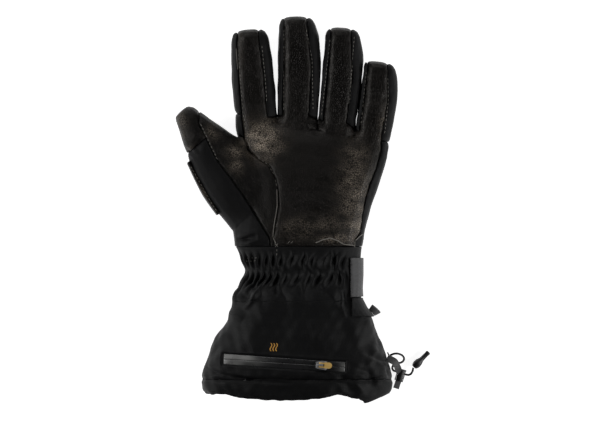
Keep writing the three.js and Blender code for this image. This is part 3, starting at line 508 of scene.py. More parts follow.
def voxel_cast(name, bm, voxel):
    holder = add_object(name, mesh_from(bm, name))
    remesh = holder.modifiers.new("voxels", "REMESH")
    remesh.mode = "VOXEL"
    remesh.voxel_size = voxel
    mesh = evaluated(holder)
    bpy.data.objects.remove(holder)
    return mesh


# %% The smooth skin of the hand
HAND_NODES = (
    "palm_leather", "hand_back", "finger_index", "finger_middle", "finger_ring", "finger_little",
    "thumb_leather", "thumb_tip", "thumb_back",
)
FIELD_VOXEL = 1.2 * MM
SEAM_OVERLAP = 0.2 * MM
FIELD_ROUNDS = 42
SHIFT_ROUNDS = 6
FIELD_SWELL = 0.35 * MM
WRIST_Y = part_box("palm_leather")[0].y
CLOSED_VOXEL = 2.4 * MM
CLOSED_OVERLAP = 1.2 * MM


def islands(mesh):
    """Labels the separate sheets of a mesh and orders them from the largest down."""
    count = len(mesh.vertices)
    beside = [[] for _ in range(count)]
    for a, b in edge_ends(mesh).tolist():
        beside[a].append(b)
        beside[b].append(a)
    label = np.full(count, -1)
    sizes = []
    for start in range(count):
        if label[start] >= 0:
            continue
        label[start] = len(sizes)
        stack, size = [start], 0
        while stack:
            here = stack.pop()
            size += 1
            for other in beside[here]:
                if label[other] < 0:
                    label[other] = len(sizes)
                    stack.append(other)
        sizes.append(size)
    return label, np.argsort(sizes)[::-1], sizes


def swollen_copy(nodes, swell):
    bm = merged_copy(*nodes)
    bm.normal_update()
    for vertex in bm.verts:
        vertex.co += vertex.normal * swell
    return bm


def hand_cast(voxel, overlap):
    """All the panels as one voxel mesh, swollen a little so that the seams close, and open at the wrist."""
    cast = voxel_cast("hand_cast", swollen_copy(HAND_NODES, overlap), voxel)
    bm = bmesh.new()
    bm.from_mesh(cast)
    bmesh.ops.bisect_plane(
        bm, geom=bm.verts[:] + bm.edges[:] + bm.faces[:], dist=MERGE,
        plane_co=(0, WRIST_Y + 1.5 * voxel, 0), plane_no=(0, 1, 0), clear_inner=True,
    )
    return mesh_from(bm, "hand_cast")


closed = hand_cast(CLOSED_VOXEL, CLOSED_OVERLAP)
closed_label, by_size, closed_sizes = islands(closed)
print("closed cast", [closed_sizes[k] for k in by_size[:4]])
closed_points = vertex_points(closed)
field = hand_cast(FIELD_VOXEL, SEAM_OVERLAP)
raw = vertex_points(field)
to_outside = nearest(tree_of(closed_points[closed_label == by_size[0]]), raw)[1]
to_inside = nearest(tree_of(closed_points[closed_label == by_size[1]]), raw)[1]
ends = edge_ends(field)
shift = relaxed(raw, ends, FIELD_ROUNDS) - raw
shift = relaxed(shift, ends, SHIFT_ROUNDS)
move_vertices(field, raw + shift)
field_normal = vertex_points(field, "normal").copy()
outside = np.flatnonzero(to_outside < to_inside)
inside = np.flatnonzero(to_outside >= to_inside)
shift[outside] += field_normal[outside] * FIELD_SWELL
outside_tree = tree_of(raw[outside])
inside_tree = tree_of(raw[inside])
print("field", len(raw), "outside", len(outside), "inside", len(inside))

# %% [markdown]
# Grooves and puckers sit where two panels really join. For each panel the distance to its seams is the
# distance to the nearest solid of any other panel, read straight off the frame.

# %% Distance to the seams
FAR_AWAY = 1.0


def faces_tree(meshes):
    """Several meshes as one tree that answers nearest points and rays."""
    points, faces = [], []
    for mesh in meshes:
        start = len(points)
        points += [vertex.co.copy() for vertex in mesh.vertices]
        faces += [[start + corner for corner in face.vertices] for face in mesh.polygons]
    return BVHTree.FromPolygons(points, faces)


def solids_tree(nodes):
    return faces_tree([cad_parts[node].data for node in nodes])


def seam_distance(node, points):
    """How far each point is from the other panels. The loose patch has no seam, so it is far from all."""
    if node not in HAND_NODES:
        return np.full(len(points), FAR_AWAY)
    others = solids_tree([name for name in HAND_NODES if name != node])
    return np.array([others.find_nearest(point)[3] for point in points.tolist()])


# %% [markdown]
# Creases and folds are kept in small tables read off the photograph: where one starts and ends, how wide it
# is and how far it stands up or sinks. They act on the side that faces up. A slow ripple made of a few
# crossing waves keeps large faces from looking machined.

# %% Creases and ripples
def ripple(points, wavelength, seed, waves=7):
    chance = np.random.default_rng(seed)
    total = np.zeros(len(points))
    for _ in range(waves):
        direction = chance.normal(size=3)
        direction *= 2 * math.pi / (wavelength * np.linalg.norm(direction) * chance.uniform(0.7, 1.4))
        total += np.sin(points @ direction + chance.uniform(0, 2 * math.pi))
    return total / math.sqrt(waves / 2)


def crease_heights(points, up, table):
    total = np.zeros(len(points))
    plan = points[:, :2]
    for x0, y0, x1, y1, width, height in table:
        start = np.array(on_table(x0, y0))
        along = np.array(on_table(x1, y1)) - start
        t = np.clip((plan - start) @ along / (along @ along), 0.0, 1.0)
        away = np.linalg.norm(plan - start - t[:, None] * along, axis=1)
        taper = np.sin(math.pi * (0.08 + 0.84 * t)) ** 0.7
        total += height * MM * taper * bell(away, width * MM)
    return total * smooth_step(up, 0.0, 0.35)


# Columns: start and end in pixels of the photograph, half width and height in millimetres
PALM_CREASES = (
    (262, 140, 276, 139, 1.1, 0.5), (258, 145, 274, 143, 1.0, -0.5), (252, 151, 276, 155, 1.6, 0.9),
    (256, 132, 268, 134, 1.2, -0.4), (258, 158, 268, 162, 1.4, 0.8), (256, 161, 272, 170, 1.8, -0.7),
    (300, 232, 330, 234, 4.0, 0.7), (316, 242, 330, 238.5, 0.8, 0.9), (330, 238.5, 343, 244, 0.8, 0.9),
    (343, 244, 354, 246, 0.8, 0.9), (303, 226, 326, 231, 2.5, -0.5), (286, 126, 344, 132, 5.0, 0.5),
    (282, 150, 350, 158, 4.0, -0.6), (284, 200, 330, 186, 6.0, -0.7), (300, 243, 306, 256, 1.6, -1.0),
    (350, 156, 366, 158, 1.0, 0.25), (338, 190, 364, 188, 1.2, 0.25), (334, 214, 358, 219, 1.4, 0.35),
)
THUMB_CREASES = (
    (238, 238, 256, 232, 1.8, 1.5), (240, 239, 250, 238, 1.4, -2.4), (240, 247, 258, 240, 2.0, 1.5),
    (258, 232, 259, 241, 1.6, 0.6), (250, 252, 270, 243, 2.2, -0.9), (232, 226, 262, 224, 4.0, 0.5),
    (228, 174, 243, 195, 1.0, -0.6), (243, 195, 262, 225, 0.9, -0.6), (262, 225, 270, 240, 0.8, -0.7),
    (188, 147, 199, 153, 0.8, 0.6), (187, 150, 198, 156, 0.8, -0.7), (187, 153, 196, 159, 0.8, 0.5),
    (189, 144, 200, 150, 0.8, -0.5),
)
# Spots where the leather and the zip tapes get a painted highlight in their colour.
# Columns: middle in pixels of the photograph, half sizes across and along in millimetres, and strength
PAINTED_HIGHLIGHT_PLACES = (
    (262, 140, 13, 13, 1.0), (355, 196, 12, 34, 0.46), (360, 226, 9, 12, 0.75), (356, 158, 10, 14, 0.3),
    (330, 224, 14, 8, 0.2), (340, 238, 16, 4, 0.5), (236, 152, 7, 5, 0.55), (237, 168, 5, 5, 0.55),
    (214, 132, 6, 6, 0.3), (300, 228, 16, 8, 0.22), (206, 190, 8, 14, 0.3), (237, 358, 17, 6, 0.8),
    (343, 366, 4, 6, 0.4), (181, 127, 5, 12, 0.28), (190, 150, 5, 4, 0.2), (240, 60, 3, 20, 0.12),
    (384, 130, 4, 14, 0.4),
)


def painted_highlight_share(points, up):
    total = np.zeros(len(points))
    for px, py, across, along, strength in PAINTED_HIGHLIGHT_PLACES:
        away = (points[:, :2] - np.array(on_table(px, py))) / (np.array([across, along]) * MM)
        total = np.maximum(total, strength * np.exp(-np.sum(away ** 2, axis=1)))
    patchy = 0.75 + 0.25 * ripple(points, 12 * MM, 3)
    return np.clip(total * patchy, 0, 1) * smooth_step(up, 0.1, 0.5)


def store_painted_highlight(mesh, points, up):
    """Stores the painted-highlight mask on the mesh, where its material reads it."""
    mesh.attributes.new("painted_highlight", "FLOAT", "POINT").data.foreach_set("value", painted_highlight_share(points, up))


print("creases", len(PALM_CREASES) + len(THUMB_CREASES), "painted highlight places", len(PAINTED_HIGHLIGHT_PLACES))

# %% [markdown]
# Each panel is then its own padded piece with a real wall. It is cast in finer voxels, which rounds its cut
# edges, warped by the shared field so that neighbours stay in line, rolled down at its seams and puffed
# between them, where the wadding fills it.

# %% Padded panels of the hand
PANEL_VOXEL = 0.8 * MM
PANEL_SWELL = 0.25 * MM
EDGE_ROUNDS = 3
SEAM_DEPTH = 0.7 * MM
SEAM_WIDTH = 1.5 * MM
PUFF = 0.5 * MM
SLOW_RIPPLE = 0.22 * MM
SEAM_RIPPLE = 0.1 * MM
RIM_FADE = 14 * MM
FIRST_SEED = 20
SEEDS_A_PANEL = 3


def padded_panel(name, node, finish, creases, seed):
    mesh = voxel_cast(name, swollen_copy([node], PANEL_SWELL), PANEL_VOXEL)
    points = vertex_points(mesh)
    out_index, out_away = nearest(outside_tree, points)
    in_index, in_away = nearest(inside_tree, points)
    share = in_away / (in_away + out_away + 1e-9)
    outer = smooth_step(share, 0.5, 0.85)
    fade = smooth_step(points[:, 1], WRIST_Y, WRIST_Y + RIM_FADE)[:, None]
    drift = share[:, None] * shift[outside[out_index]] + (1 - share)[:, None] * shift[inside[in_index]]
    normal = field_normal[outside[out_index]]
    seam = seam_distance(node, points)
    warped = points + drift * fade
    at_rim = smooth_step(points[:, 1], WRIST_Y + 0.5 * MM, WRIST_Y + 3 * MM)[:, None]
    points = warped + (relaxed(warped, edge_ends(mesh), EDGE_ROUNDS) - warped) * at_rim
    tuck = bell(seam, SEAM_WIDTH)
    pucker = 1 + 0.2 * ripple(points, 5 * MM, seed)
    height = PUFF * smooth_step(seam, 1.5 * MM, 7 * MM) * fade[:, 0] - SEAM_DEPTH * tuck * pucker
    height += SLOW_RIPPLE * ripple(points, 22 * MM, seed + 1) * smooth_step(seam, 2 * MM, 9 * MM)
    height += SEAM_RIPPLE * ripple(points, 7 * MM, seed + 2) * bell(seam, 6 * MM)
    height += crease_heights(points, normal[:, 2], creases)
    points += normal * (height * outer)[:, None]
    points[:, 2] = np.maximum(points[:, 2], 0)  # nothing sinks into the table
    move_vertices(mesh, points)
    store_painted_highlight(mesh, points, normal[:, 2])
    piece = enter(name, mesh, [finish], [node])
    return piece


# Columns: piece, solid, finish, slot, creases and how full the wadding is
HAND_PANELS = (
    ("padded_palm", "palm_leather", palm_leather, "palm_leather", PALM_CREASES, 0.5),
    ("padded_back", "hand_back", hand_cloth, "softshell", (), 0.6),
    *(
        (f"padded_{finger}", f"finger_{finger}", hand_cloth, "softshell", (), 0.6)
        for finger in ("index", "middle", "ring", "little")
    ),
    ("padded_thumb", "thumb_leather", thumb_leather, "thumb_leather", THUMB_CREASES, 0.6),
    ("thumb_cap", "thumb_tip", thumb_leather, "thumb_leather", THUMB_CREASES, 0.6),
    ("padded_thumb_side", "thumb_back", hand_cloth, "softshell", THUMB_CREASES, 0.6),
    ("thumb_wear_patch", "thumb_patch", thumb_leather, "thumb_leather", (), 0.3),
)
hand_pieces = [
    padded_panel(name, node, finish, creases, FIRST_SEED + SEEDS_A_PANEL * index)
    for index, (name, node, finish, slot, creases, fill) in enumerate(HAND_PANELS)
]

# %% [markdown]
# The wrist and the cuff are one tube of cloth, so they are shaped together. Rings of points are read off
# the outer solids, spread evenly along each ring and smoothed, which gives a net whose columns run from the
# wrist to the hem. Gathers, folds and the sunk place of the zip are then heights on that net.

# %% Net of the sleeve
SLEEVE_NODES = ("wrist_gather", "cuff", "hem_band", "zip_tape_upper", "zip_tape_lower")
SLEEVE_CENTRE = (7.1 * MM, 28.0 * MM)
SLEEVE_COLUMNS = 400
ROW_STEP = 0.75 * MM
RING_TURNS = 720
RING_BLUR = 4.0 * MM
LENGTH_BLUR = 4.5 * MM
REACH = 0.2
GATHER_END, GATHER_TOP = (corner.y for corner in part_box("wrist_gather"))
CUFF_END, CUFF_TOP = (corner.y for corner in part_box("cuff"))
HEM_END, HEM_TOP = (corner.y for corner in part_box("hem_band"))


def sleeve_radii(tree, y):
    """How far the outer face lies from the sleeve's middle, turn by turn, at one place along it."""
    centre = Vector((SLEEVE_CENTRE[0], y, SLEEVE_CENTRE[1]))
    radii = []
    for turn in range(RING_TURNS):
        angle = math.pi - 2 * math.pi * turn / RING_TURNS
        out = Vector((math.cos(angle), 0, math.sin(angle)))
        hit = tree.ray_cast(centre + out * REACH, -out, REACH)[0]
        radii.append((hit - centre).length if hit else np.nan)
    return np.array(radii)


sleeve_tree = solids_tree(SLEEVE_NODES)
row_y = np.arange(GATHER_TOP - 0.2 * MM, HEM_END, -ROW_STEP)
radii = np.array([sleeve_radii(sleeve_tree, y) for y in row_y])
hem_rows = np.sum(~np.isnan(radii), axis=0)
for row in range(1, len(radii)):
    radii[row] = np.where(np.isnan(radii[row]), radii[row - 1], radii[row])
print("rings", radii.shape, "hem rows", hem_rows.min(), hem_rows.max())


# %% Even columns, smoothed
def even_ring(ring_radii, y):
    angle = math.pi - 2 * math.pi * np.arange(RING_TURNS + 1) / RING_TURNS
    closed = np.append(ring_radii, ring_radii[0])
    x = SLEEVE_CENTRE[0] + closed * np.cos(angle)
    z = SLEEVE_CENTRE[1] + closed * np.sin(angle)
    run = np.concatenate([[0], np.cumsum(np.hypot(np.diff(x), np.diff(z)))])
    stops = np.linspace(0, run[-1], SLEEVE_COLUMNS + 1)[:-1]
    turns = np.interp(stops, run, np.arange(RING_TURNS + 1))
    ring = np.stack([np.interp(stops, run, x), np.full(SLEEVE_COLUMNS, y), np.interp(stops, run, z)], 1)
    return ring, turns


def blurred(net, sigma, axis):
    """A soft blur. Columns close into a ring, and rows run straight on past both ends."""
    half = int(3 * sigma) + 1
    kernel = np.exp(-0.5 * (np.arange(-half, half + 1) / sigma) ** 2)
    kernel /= kernel.sum()
    if axis == 1:
        padded = np.concatenate([net[:, -half:], net, net[:, :half]], axis=1)
    else:
        first = 2 * net[:1] - net[half:0:-1]
        last = 2 * net[-1:] - net[-2:-half - 2:-1]
        padded = np.concatenate([first, net, last], axis=0)
    size = net.shape[axis]
    return sum(
        weight * np.take(padded, range(k, k + size), axis=axis) for k, weight in enumerate(kernel)
    )


rings = [even_ring(radii[row], row_y[row]) for row in range(len(row_y))]
net = np.array([ring for ring, _ in rings])
ring_turn = np.array([turns for _, turns in rings])
column_step = np.linalg.norm(np.diff(net, axis=1), axis=2).mean()
net = blurred(blurred(net, RING_BLUR / column_step, 1), LENGTH_BLUR / ROW_STEP, 0)


def net_normals(grid):
    around = np.roll(grid, -1, axis=1) - np.roll(grid, 1, axis=1)
    down = np.gradient(grid, axis=0)
    normal = np.cross(around, down)
    normal /= np.linalg.norm(normal, axis=2, keepdims=True)
    away = grid - np.array([SLEEVE_CENTRE[0], 0, SLEEVE_CENTRE[1]])
    away[:, :, 1] = 0
    return normal * np.sign(np.sum(normal * away, axis=2))[:, :, None]


normals = net_normals(net)
print("net", net.shape, "column step", round(column_step / MM, 2), "mm")

# %% [markdown]
# Two rows of elastic draw the wrist in. At each row the cloth stands in narrow pleats with sharp valleys,
# and because the two rows pinch it half a pleat apart, diamonds form between them. Below the second row
# neighbouring pleats merge and run out into the cuff. On the thumb's side the pleats are finer, and under
# the strap the cloth is held flat.

# %% Pleats of the elastic wrist
PLEAT = 8.0 * MM
FINE_PLEAT = 4.2 * MM
PLEAT_DEPTH = 3.4 * MM
ELASTIC_ROWS = tuple(on_table(0, py)[1] for py in (261, 279.5))
ROW_SPREAD = 5.2 * MM
SECOND_ROW_GAIN = 0.3
TAIL_Y = on_table(0, 292)[1]
TAIL_RISE = 5 * MM
TAIL_SPREAD = 9 * MM
TAIL_GAIN = 0.75
MEAN_PLEAT = 0.64
UNDER_STRAP = 0.15
FINE_SIDE = (on_table(245, 0)[0], on_table(268, 0)[0])
STRAP_SIDE = (on_table(343, 0)[0], on_table(349, 0)[0])


def pleat_heights():
    x, y, z = net[:, :, 0], net[:, :, 1], net[:, :, 2]
    ring = net[np.count_nonzero(row_y > ELASTIC_ROWS[1])]
    fine = 1 - smooth_step(ring[:, 0], FINE_SIDE[0], FINE_SIDE[1])
    pitch = PLEAT + (FINE_PLEAT - PLEAT) * fine
    pitch *= 1 + 0.22 * ripple(ring, 34 * MM, 5) / 1.5
    step = np.linalg.norm(np.roll(ring, -1, axis=0) - ring, axis=1)
    phase = np.concatenate([[0], np.cumsum(step / pitch)])
    phase = (phase * round(phase[-1] / 2) * 2 / phase[-1])[:-1][None, :]
    flat = net.reshape(-1, 3)
    wander = 0.13 * ripple(flat, 17 * MM, 6).reshape(x.shape)
    strength = 1 + 0.15 * ripple(flat, 19 * MM, 7).reshape(x.shape)
    total = np.zeros(x.shape)
    for index, row in enumerate(ELASTIC_ROWS):
        ridge = np.abs(np.sin(math.pi * (phase + 0.5 * index + wander))) - MEAN_PLEAT
        total += (1 + SECOND_ROW_GAIN * index) * ridge * bell(y - row, ROW_SPREAD)
    merged = np.abs(np.sin(math.pi * (phase / 2 + 0.25 + wander))) - MEAN_PLEAT
    total += TAIL_GAIN * merged * bell(y - TAIL_Y, np.where(y > TAIL_Y, TAIL_RISE, TAIL_SPREAD))
    free = 1 - smooth_step(x, *STRAP_SIDE) * smooth_step(z, 18 * MM, 26 * MM)
    held = UNDER_STRAP + (1 - UNDER_STRAP) * free
    return total * PLEAT_DEPTH * strength * held * smooth_step(GATHER_TOP - y, 0, 4 * MM)


# Columns: start and end in pixels of the photograph, half width and height in millimetres
SLEEVE_FOLDS = (
    (265, 283, 247, 306, 2.2, 3.0), (240, 290, 247, 301, 3.2, -2.6), (251, 280, 257, 290, 2.4, -1.6),
    (238, 288, 235, 303, 2.8, 2.6), (229, 311, 244, 319, 5.0, 3.4), (226, 326, 236, 340, 5.0, -1.4),
    (272.5, 252, 273, 265, 1.1, -1.6), (276, 279, 276.5, 294, 1.5, -2.0), (339, 291, 341, 305, 2.6, 3.2),
    (340, 305, 345, 315, 1.6, 1.2), (345, 292, 348, 308, 2.2, -1.6), (333, 268, 336, 275, 1.3, -1.6),
    (333, 252, 334.5, 262, 1.2, -1.4), (304, 252, 306, 262, 1.2, -1.2), (292, 250, 293, 262, 1.2, -1.0),
    (299, 284, 301, 294, 1.8, -1.3), (320, 282, 324, 292, 1.8, -1.2), (288, 300, 282, 340, 7.0, -0.9),
    (312, 296, 318, 338, 8.0, 0.8), (262, 304, 246, 340, 6.0, 0.9), (336, 322, 350, 352, 6.0, -1.0),
    (351, 318, 360, 345, 5.0, 1.0), (372, 338, 360, 352, 5.0, -1.4), (376, 350, 366, 366, 3.0, 1.3),
    (224, 350, 216, 364, 3.5, 1.2), (206, 366, 222, 373, 1.4, -1.6), (222, 373, 262, 380.5, 1.3, -1.3),
    (262, 380.5, 292, 382, 1.4, -1.0), (212, 378, 250, 390, 4.0, 1.0), (262, 392, 300, 391, 5.0, -0.8),
    (300, 386, 338, 384, 5.0, 0.9), (340, 372, 352, 392, 4.0, -1.4), (352, 378, 364, 392, 3.2, 1.6),
    (366, 366, 374, 386, 3.4, -1.8), (378, 360, 386, 378, 3.0, 1.4), (386, 366, 390, 378, 1.6, -1.4),
    (240, 330, 214, 352, 4.0, -0.8), (286, 372, 330, 374, 3.0, 0.7), (360, 312, 372, 330, 5.0, 1.2),
    (376, 336, 386, 352, 4.0, -1.2), (366, 352, 384, 360, 2.6, -1.6), (352, 366, 368, 372, 2.4, -1.2),
)
WIDE_RIPPLE = 0.5 * MM
FINE_RIPPLE = 0.16 * MM


def fold_heights():
    flat = net.reshape(-1, 3)
    heights = crease_heights(flat, normals.reshape(-1, 3)[:, 2], SLEEVE_FOLDS)
    low = smooth_step(-flat[:, 1], -CUFF_TOP - 8 * MM, -CUFF_TOP + 14 * MM)
    heights += low * (WIDE_RIPPLE * ripple(flat, 30 * MM, 11) + FINE_RIPPLE * ripple(flat, 9 * MM, 12))
    return heights.reshape(net.shape[:2])


net_height = pleat_heights() + fold_heights()
print("sleeve heights", round(net_height.min() / MM, 2), round(net_height.max() / MM, 2), "mm")

# %% [markdown]
# The zip lies in a shallow recess across the palm side of the cuff. The middle of its frame comes from the
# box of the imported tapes, and its length, width and slope from the photograph. Cloth inside the frame sinks
# by the depth of the tapes, a low lip stands round it, and folds and pleats calm down near the tapes.

# %% Sunk place of the zip
ZIP_LOW, ZIP_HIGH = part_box("zip_tape_lower")[0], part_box("zip_tape_upper")[1]
ZIP_MIDDLE = np.array([ZIP_LOW.x + ZIP_HIGH.x, ZIP_LOW.y + ZIP_HIGH.y]) / 2
ZIP_LENGTH = 102 * MM
ZIP_WIDTH = 9.2 * MM
ZIP_ANGLE = math.radians(-3.8)
ZIP_RECESS = 1.2 * MM
RECESS_EDGE = 0.9 * MM
CALM_SHARE = 0.8
CALM_BLUR = 3.0
LIP_HEIGHT = 0.35 * MM
LIP_WIDTH = 1.0 * MM
LIP_OUT = 1.6 * MM


def in_zip_frame(points):
    away = points[:, :2] - ZIP_MIDDLE
    along = away[:, 0] * math.cos(ZIP_ANGLE) + away[:, 1] * math.sin(ZIP_ANGLE)
    across = -away[:, 0] * math.sin(ZIP_ANGLE) + away[:, 1] * math.cos(ZIP_ANGLE)
    return along, across


def recess_heights():
    flat = net.reshape(-1, 3)
    along, across = in_zip_frame(flat)
    past = np.maximum(np.abs(along) - ZIP_LENGTH / 2, np.abs(across) - ZIP_WIDTH / 2)
    on_top = smooth_step(flat[:, 2], 30 * MM, 34 * MM)
    sunk = (1 - smooth_step(past, -RECESS_EDGE / 2, RECESS_EDGE)) * on_top
    lip = bell(past - LIP_OUT, LIP_WIDTH) * on_top
    return (LIP_HEIGHT * lip - ZIP_RECESS * sunk).reshape(net.shape[:2]), sunk.reshape(net.shape[:2])


recess, zip_zone = recess_heights()
calm = 1 - CALM_SHARE * np.clip(blurred(zip_zone, CALM_BLUR, 0), 0, 1)
skin_net = net + normals * (net_height * calm)[:, :, None]
skin_net[:, :, 2] = np.maximum(skin_net[:, :, 2], 0)
sunk_net = skin_net + normals * recess[:, :, None]
print("zip recess points", int((zip_zone > 0.5).sum()))

# %% [markdown]
# Each part of the sleeve is a strip of the net: the gathered wrist, the cuff and the hem. A flat grid is
# laid out first, with its own map in real metres for the weave, its vertices go to their places on the net
# and its long edges are closed. Solidify then gives the cloth its thickness, with the lining inside.

# %% Sleeve pieces
SLEEVE_WALL = 2.6 * MM
SLEEVE_GIRTH = 0.312
HEM_BLUR = 1.2
EDGE_ROLL = 1.1 * MM
EDGE_ROLL_WIDTH = 2.0 * MM


def net_strip(grid, row_start, row_end, rows):
    """Rows of the net between two places, which may differ from column to column."""
    steps = np.linspace(0, 1, rows + 1)[:, None]
    wanted = row_start + (row_end - row_start) * steps
    low = np.clip(np.floor(wanted).astype(int), 0, len(grid) - 2)
    part = (wanted - low)[:, :, None]
    columns = np.arange(SLEEVE_COLUMNS)[None, :]
    return grid[low, columns] * (1 - part) + grid[low + 1, columns] * part


def grid_mesh(name, grid, size, closed=True):
    """A grid whose vertex in row r and column c goes to grid[r][c], with a map in metres.

    Its faces look away from the middle of the sleeve.
    """
    rows, columns = grid.shape[0] - 1, grid.shape[1] - (0 if closed else 1)
    bm = bmesh.new()
    bm.loops.layers.uv.new("cloth")
    bmesh.ops.create_grid(bm, x_segments=columns, y_segments=rows, size=1.0, calc_uvs=True)
    for vertex in bm.verts:
        column = round((vertex.co.x + 1) / 2 * columns) % grid.shape[1]
        row = round((vertex.co.y + 1) / 2 * rows)
        vertex.co = grid[row, column]
    layer = bm.loops.layers.uv.active
    for face in bm.faces:
        for loop in face.loops:
            loop[layer].uv = (loop[layer].uv[0] * size[0], loop[layer].uv[1] * size[1])
    if closed:
        bmesh.ops.remove_doubles(bm, verts=bm.verts, dist=MERGE)
    bm.normal_update()
    centre = Vector((SLEEVE_CENTRE[0], 0, SLEEVE_CENTRE[1]))
    outward = sum(
        face.normal.dot((face.calc_center_median() - centre) * Vector((1, 0, 1))) for face in bm.faces
    )
    if outward < 0:
        bmesh.ops.reverse_faces(bm, faces=bm.faces)
    return mesh_from(bm, name)


def thicken(piece, thickness):
    """Gives a sheet its wall, inwards. The inner face takes the second finish, the rim the first."""
    wall = piece.modifiers.new("wall", "SOLIDIFY")
    wall.thickness = thickness
    wall.offset = -1
    wall.material_offset = 1
    wall.material_offset_rim = 0


def row_at(y):
    """The net's row at a place along the sleeve, once for every column."""
    return np.full(SLEEVE_COLUMNS, (row_y[0] - y) / ROW_STEP)


def rolled_edges(grid, length, start=True, end=True):
    """Both long edges of a strip turn down into their seams."""
    run = np.linspace(0, length, grid.shape[0])[:, None]
    tuck = np.zeros(grid.shape[:2])
    if start:
        tuck += bell(run, EDGE_ROLL_WIDTH)
    if end:
        tuck += bell(length - run, EDGE_ROLL_WIDTH)
    return grid - net_normals(grid) * (EDGE_ROLL * tuck)[:, :, None]


# The hem's edge isn't level: in each column it lies at the last row that still meets a solid
hem_edge_row = np.interp(
    ring_turn[-1], np.arange(RING_TURNS + 1), np.append(hem_rows, hem_rows[0]).astype(float)
) - 1
hem_edge_row = blurred(hem_edge_row[None, :], HEM_BLUR, 1)[0]
# Columns: piece, solid, net, first and last row, rows of faces, and whether each edge rolls down
STRIPS = (
    ("gathered_wrist", "wrist_gather", skin_net, row_at(row_y[0]), row_at(GATHER_END), 66, False, False),
    ("cuff_shell", "cuff", sunk_net, row_at(GATHER_END), row_at(CUFF_END), 76, False, True),
    ("turned_hem", "hem_band", skin_net, row_at(HEM_TOP), hem_edge_row, 36, True, True),
)
sleeve_pieces = []
for name, node, grid, first, last, rows, roll_start, roll_end in STRIPS:
    strip = net_strip(grid, first, last, rows)
    length = float(np.mean(last - first)) * ROW_STEP
    strip = rolled_edges(strip, length, roll_start, roll_end)
    mesh = grid_mesh(name, strip, (SLEEVE_GIRTH, length))
    piece = enter(name, mesh, [cuff_cloth, lining_cloth], [node])
    thicken(piece, SLEEVE_WALL)
    sleeve_pieces.append(piece)

# %% [markdown]
# The strap and the cord tunnel lie on the sleeve's side. Their outer faces are read off their solids ring
# by ring, from one edge to the other, and become strips of cloth with their own thickness. Two short loops
# keep the shape of their solids, and the upper one is pushed home against the tunnel's foot.

# %% Strap and cord tunnel
STRIP_INSET = 0.4 * MM
STRIP_EDGE = 0.35 * MM
STRAP_WALL = 1.5 * MM
CHANNEL_WALL = 1.2 * MM
TAB_EDGE = 0.3 * MM
TAB_SEAT = np.array([-0.5, -0.4, 0.0]) * MM


def side_strip(node, rows, columns):
    tree = solids_tree([node])
    low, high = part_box(node)
    grid = []
    for y in np.linspace(high.y - STRIP_INSET, low.y + STRIP_INSET, rows + 1):
        ring = sleeve_radii(tree, y)
        turns = np.flatnonzero(~np.isnan(ring))
        stops = np.linspace(turns[0], turns[-1], columns + 1)
        radius = np.interp(stops, turns, ring[turns])
        angle = math.pi - 2 * math.pi * stops / RING_TURNS
        grid.append(np.stack([
            SLEEVE_CENTRE[0] + radius * np.cos(angle), np.full(columns + 1, y),
            SLEEVE_CENTRE[1] + radius * np.sin(angle),
        ], 1))
    return np.array(grid)


def make_side_strip(name, node, finish, thickness, rows=40, columns=90):
    grid = side_strip(node, rows, columns)
    size = (np.linalg.norm(np.diff(grid[0], axis=0), axis=1).sum(), abs(grid[0, 0, 1] - grid[-1, 0, 1]))
    mesh = grid_mesh(name, grid, size, closed=False)
    piece = enter(name, mesh, [finish, finish], [node])
    thicken(piece, thickness)
    edge = piece.modifiers.new("edge", "BEVEL")
    edge.width = STRIP_EDGE
    edge.segments = 2
    edge.limit_method = "ANGLE"
    edge.angle_limit = math.radians(50)


make_side_strip("strap_webbing", "wrist_strap", webbing, STRAP_WALL)
make_side_strip("cord_channel", "cord_tunnel", cuff_cloth, CHANNEL_WALL, 24, 40)
rounded_copy("cord_loop", "cord_tab", cord_braid, TAB_EDGE)
pull_loop = rounded_copy("pull_loop", "pull_tab", tab_nylon, TAB_EDGE)
move_vertices(pull_loop.data, vertex_points(pull_loop.data) + TAB_SEAT)

# %% [markdown]
# The coated tapes are two strips that almost meet over the hidden coil. They follow the cloth round the
# recess, so their height is read off the finished net, and each is crowned towards the middle.

# %% Zip tapes
TAPE_COLUMNS = 110
TAPE_ROWS = 6
TAPE_GAP = 0.3 * MM
TAPE_INSET = 0.3 * MM
TAPE_WALL = 0.6 * MM
TAPE_DROP = 0.7 * MM
TAPE_CROWN = 0.5 * MM
HIGH_ABOVE = 0.2


def cuff_surface():
    """The sleeve's net before the zip sinks into it, as one tree."""
    points = skin_net.reshape(-1, 3)
    rows, columns = skin_net.shape[:2]
    faces = []
    for row in range(rows - 1):
        for column in range(columns):
            right = (column + 1) % columns
            a, b = row * columns + column, row * columns + right
            faces.append((a, b, b + columns, a + columns))
    return BVHTree.FromPolygons(points.tolist(), faces)


def top_of(tree, x, y):
    """The place on a tree under a point of the plan, and its normal turned to face up."""
    spot, normal, _, _ = tree.ray_cast(Vector((x, y, HIGH_ABOVE)), Vector((0, 0, -1)))
    return spot, -normal if spot and normal.z <= 0 else normal


def zip_point(along, across, lift):
    x = ZIP_MIDDLE[0] + along * math.cos(ZIP_ANGLE) - across * math.sin(ZIP_ANGLE)
    y = ZIP_MIDDLE[1] + along * math.sin(ZIP_ANGLE) + across * math.cos(ZIP_ANGLE)
    spot, normal = top_of(skin_tree, x, y)
    return spot + normal * lift


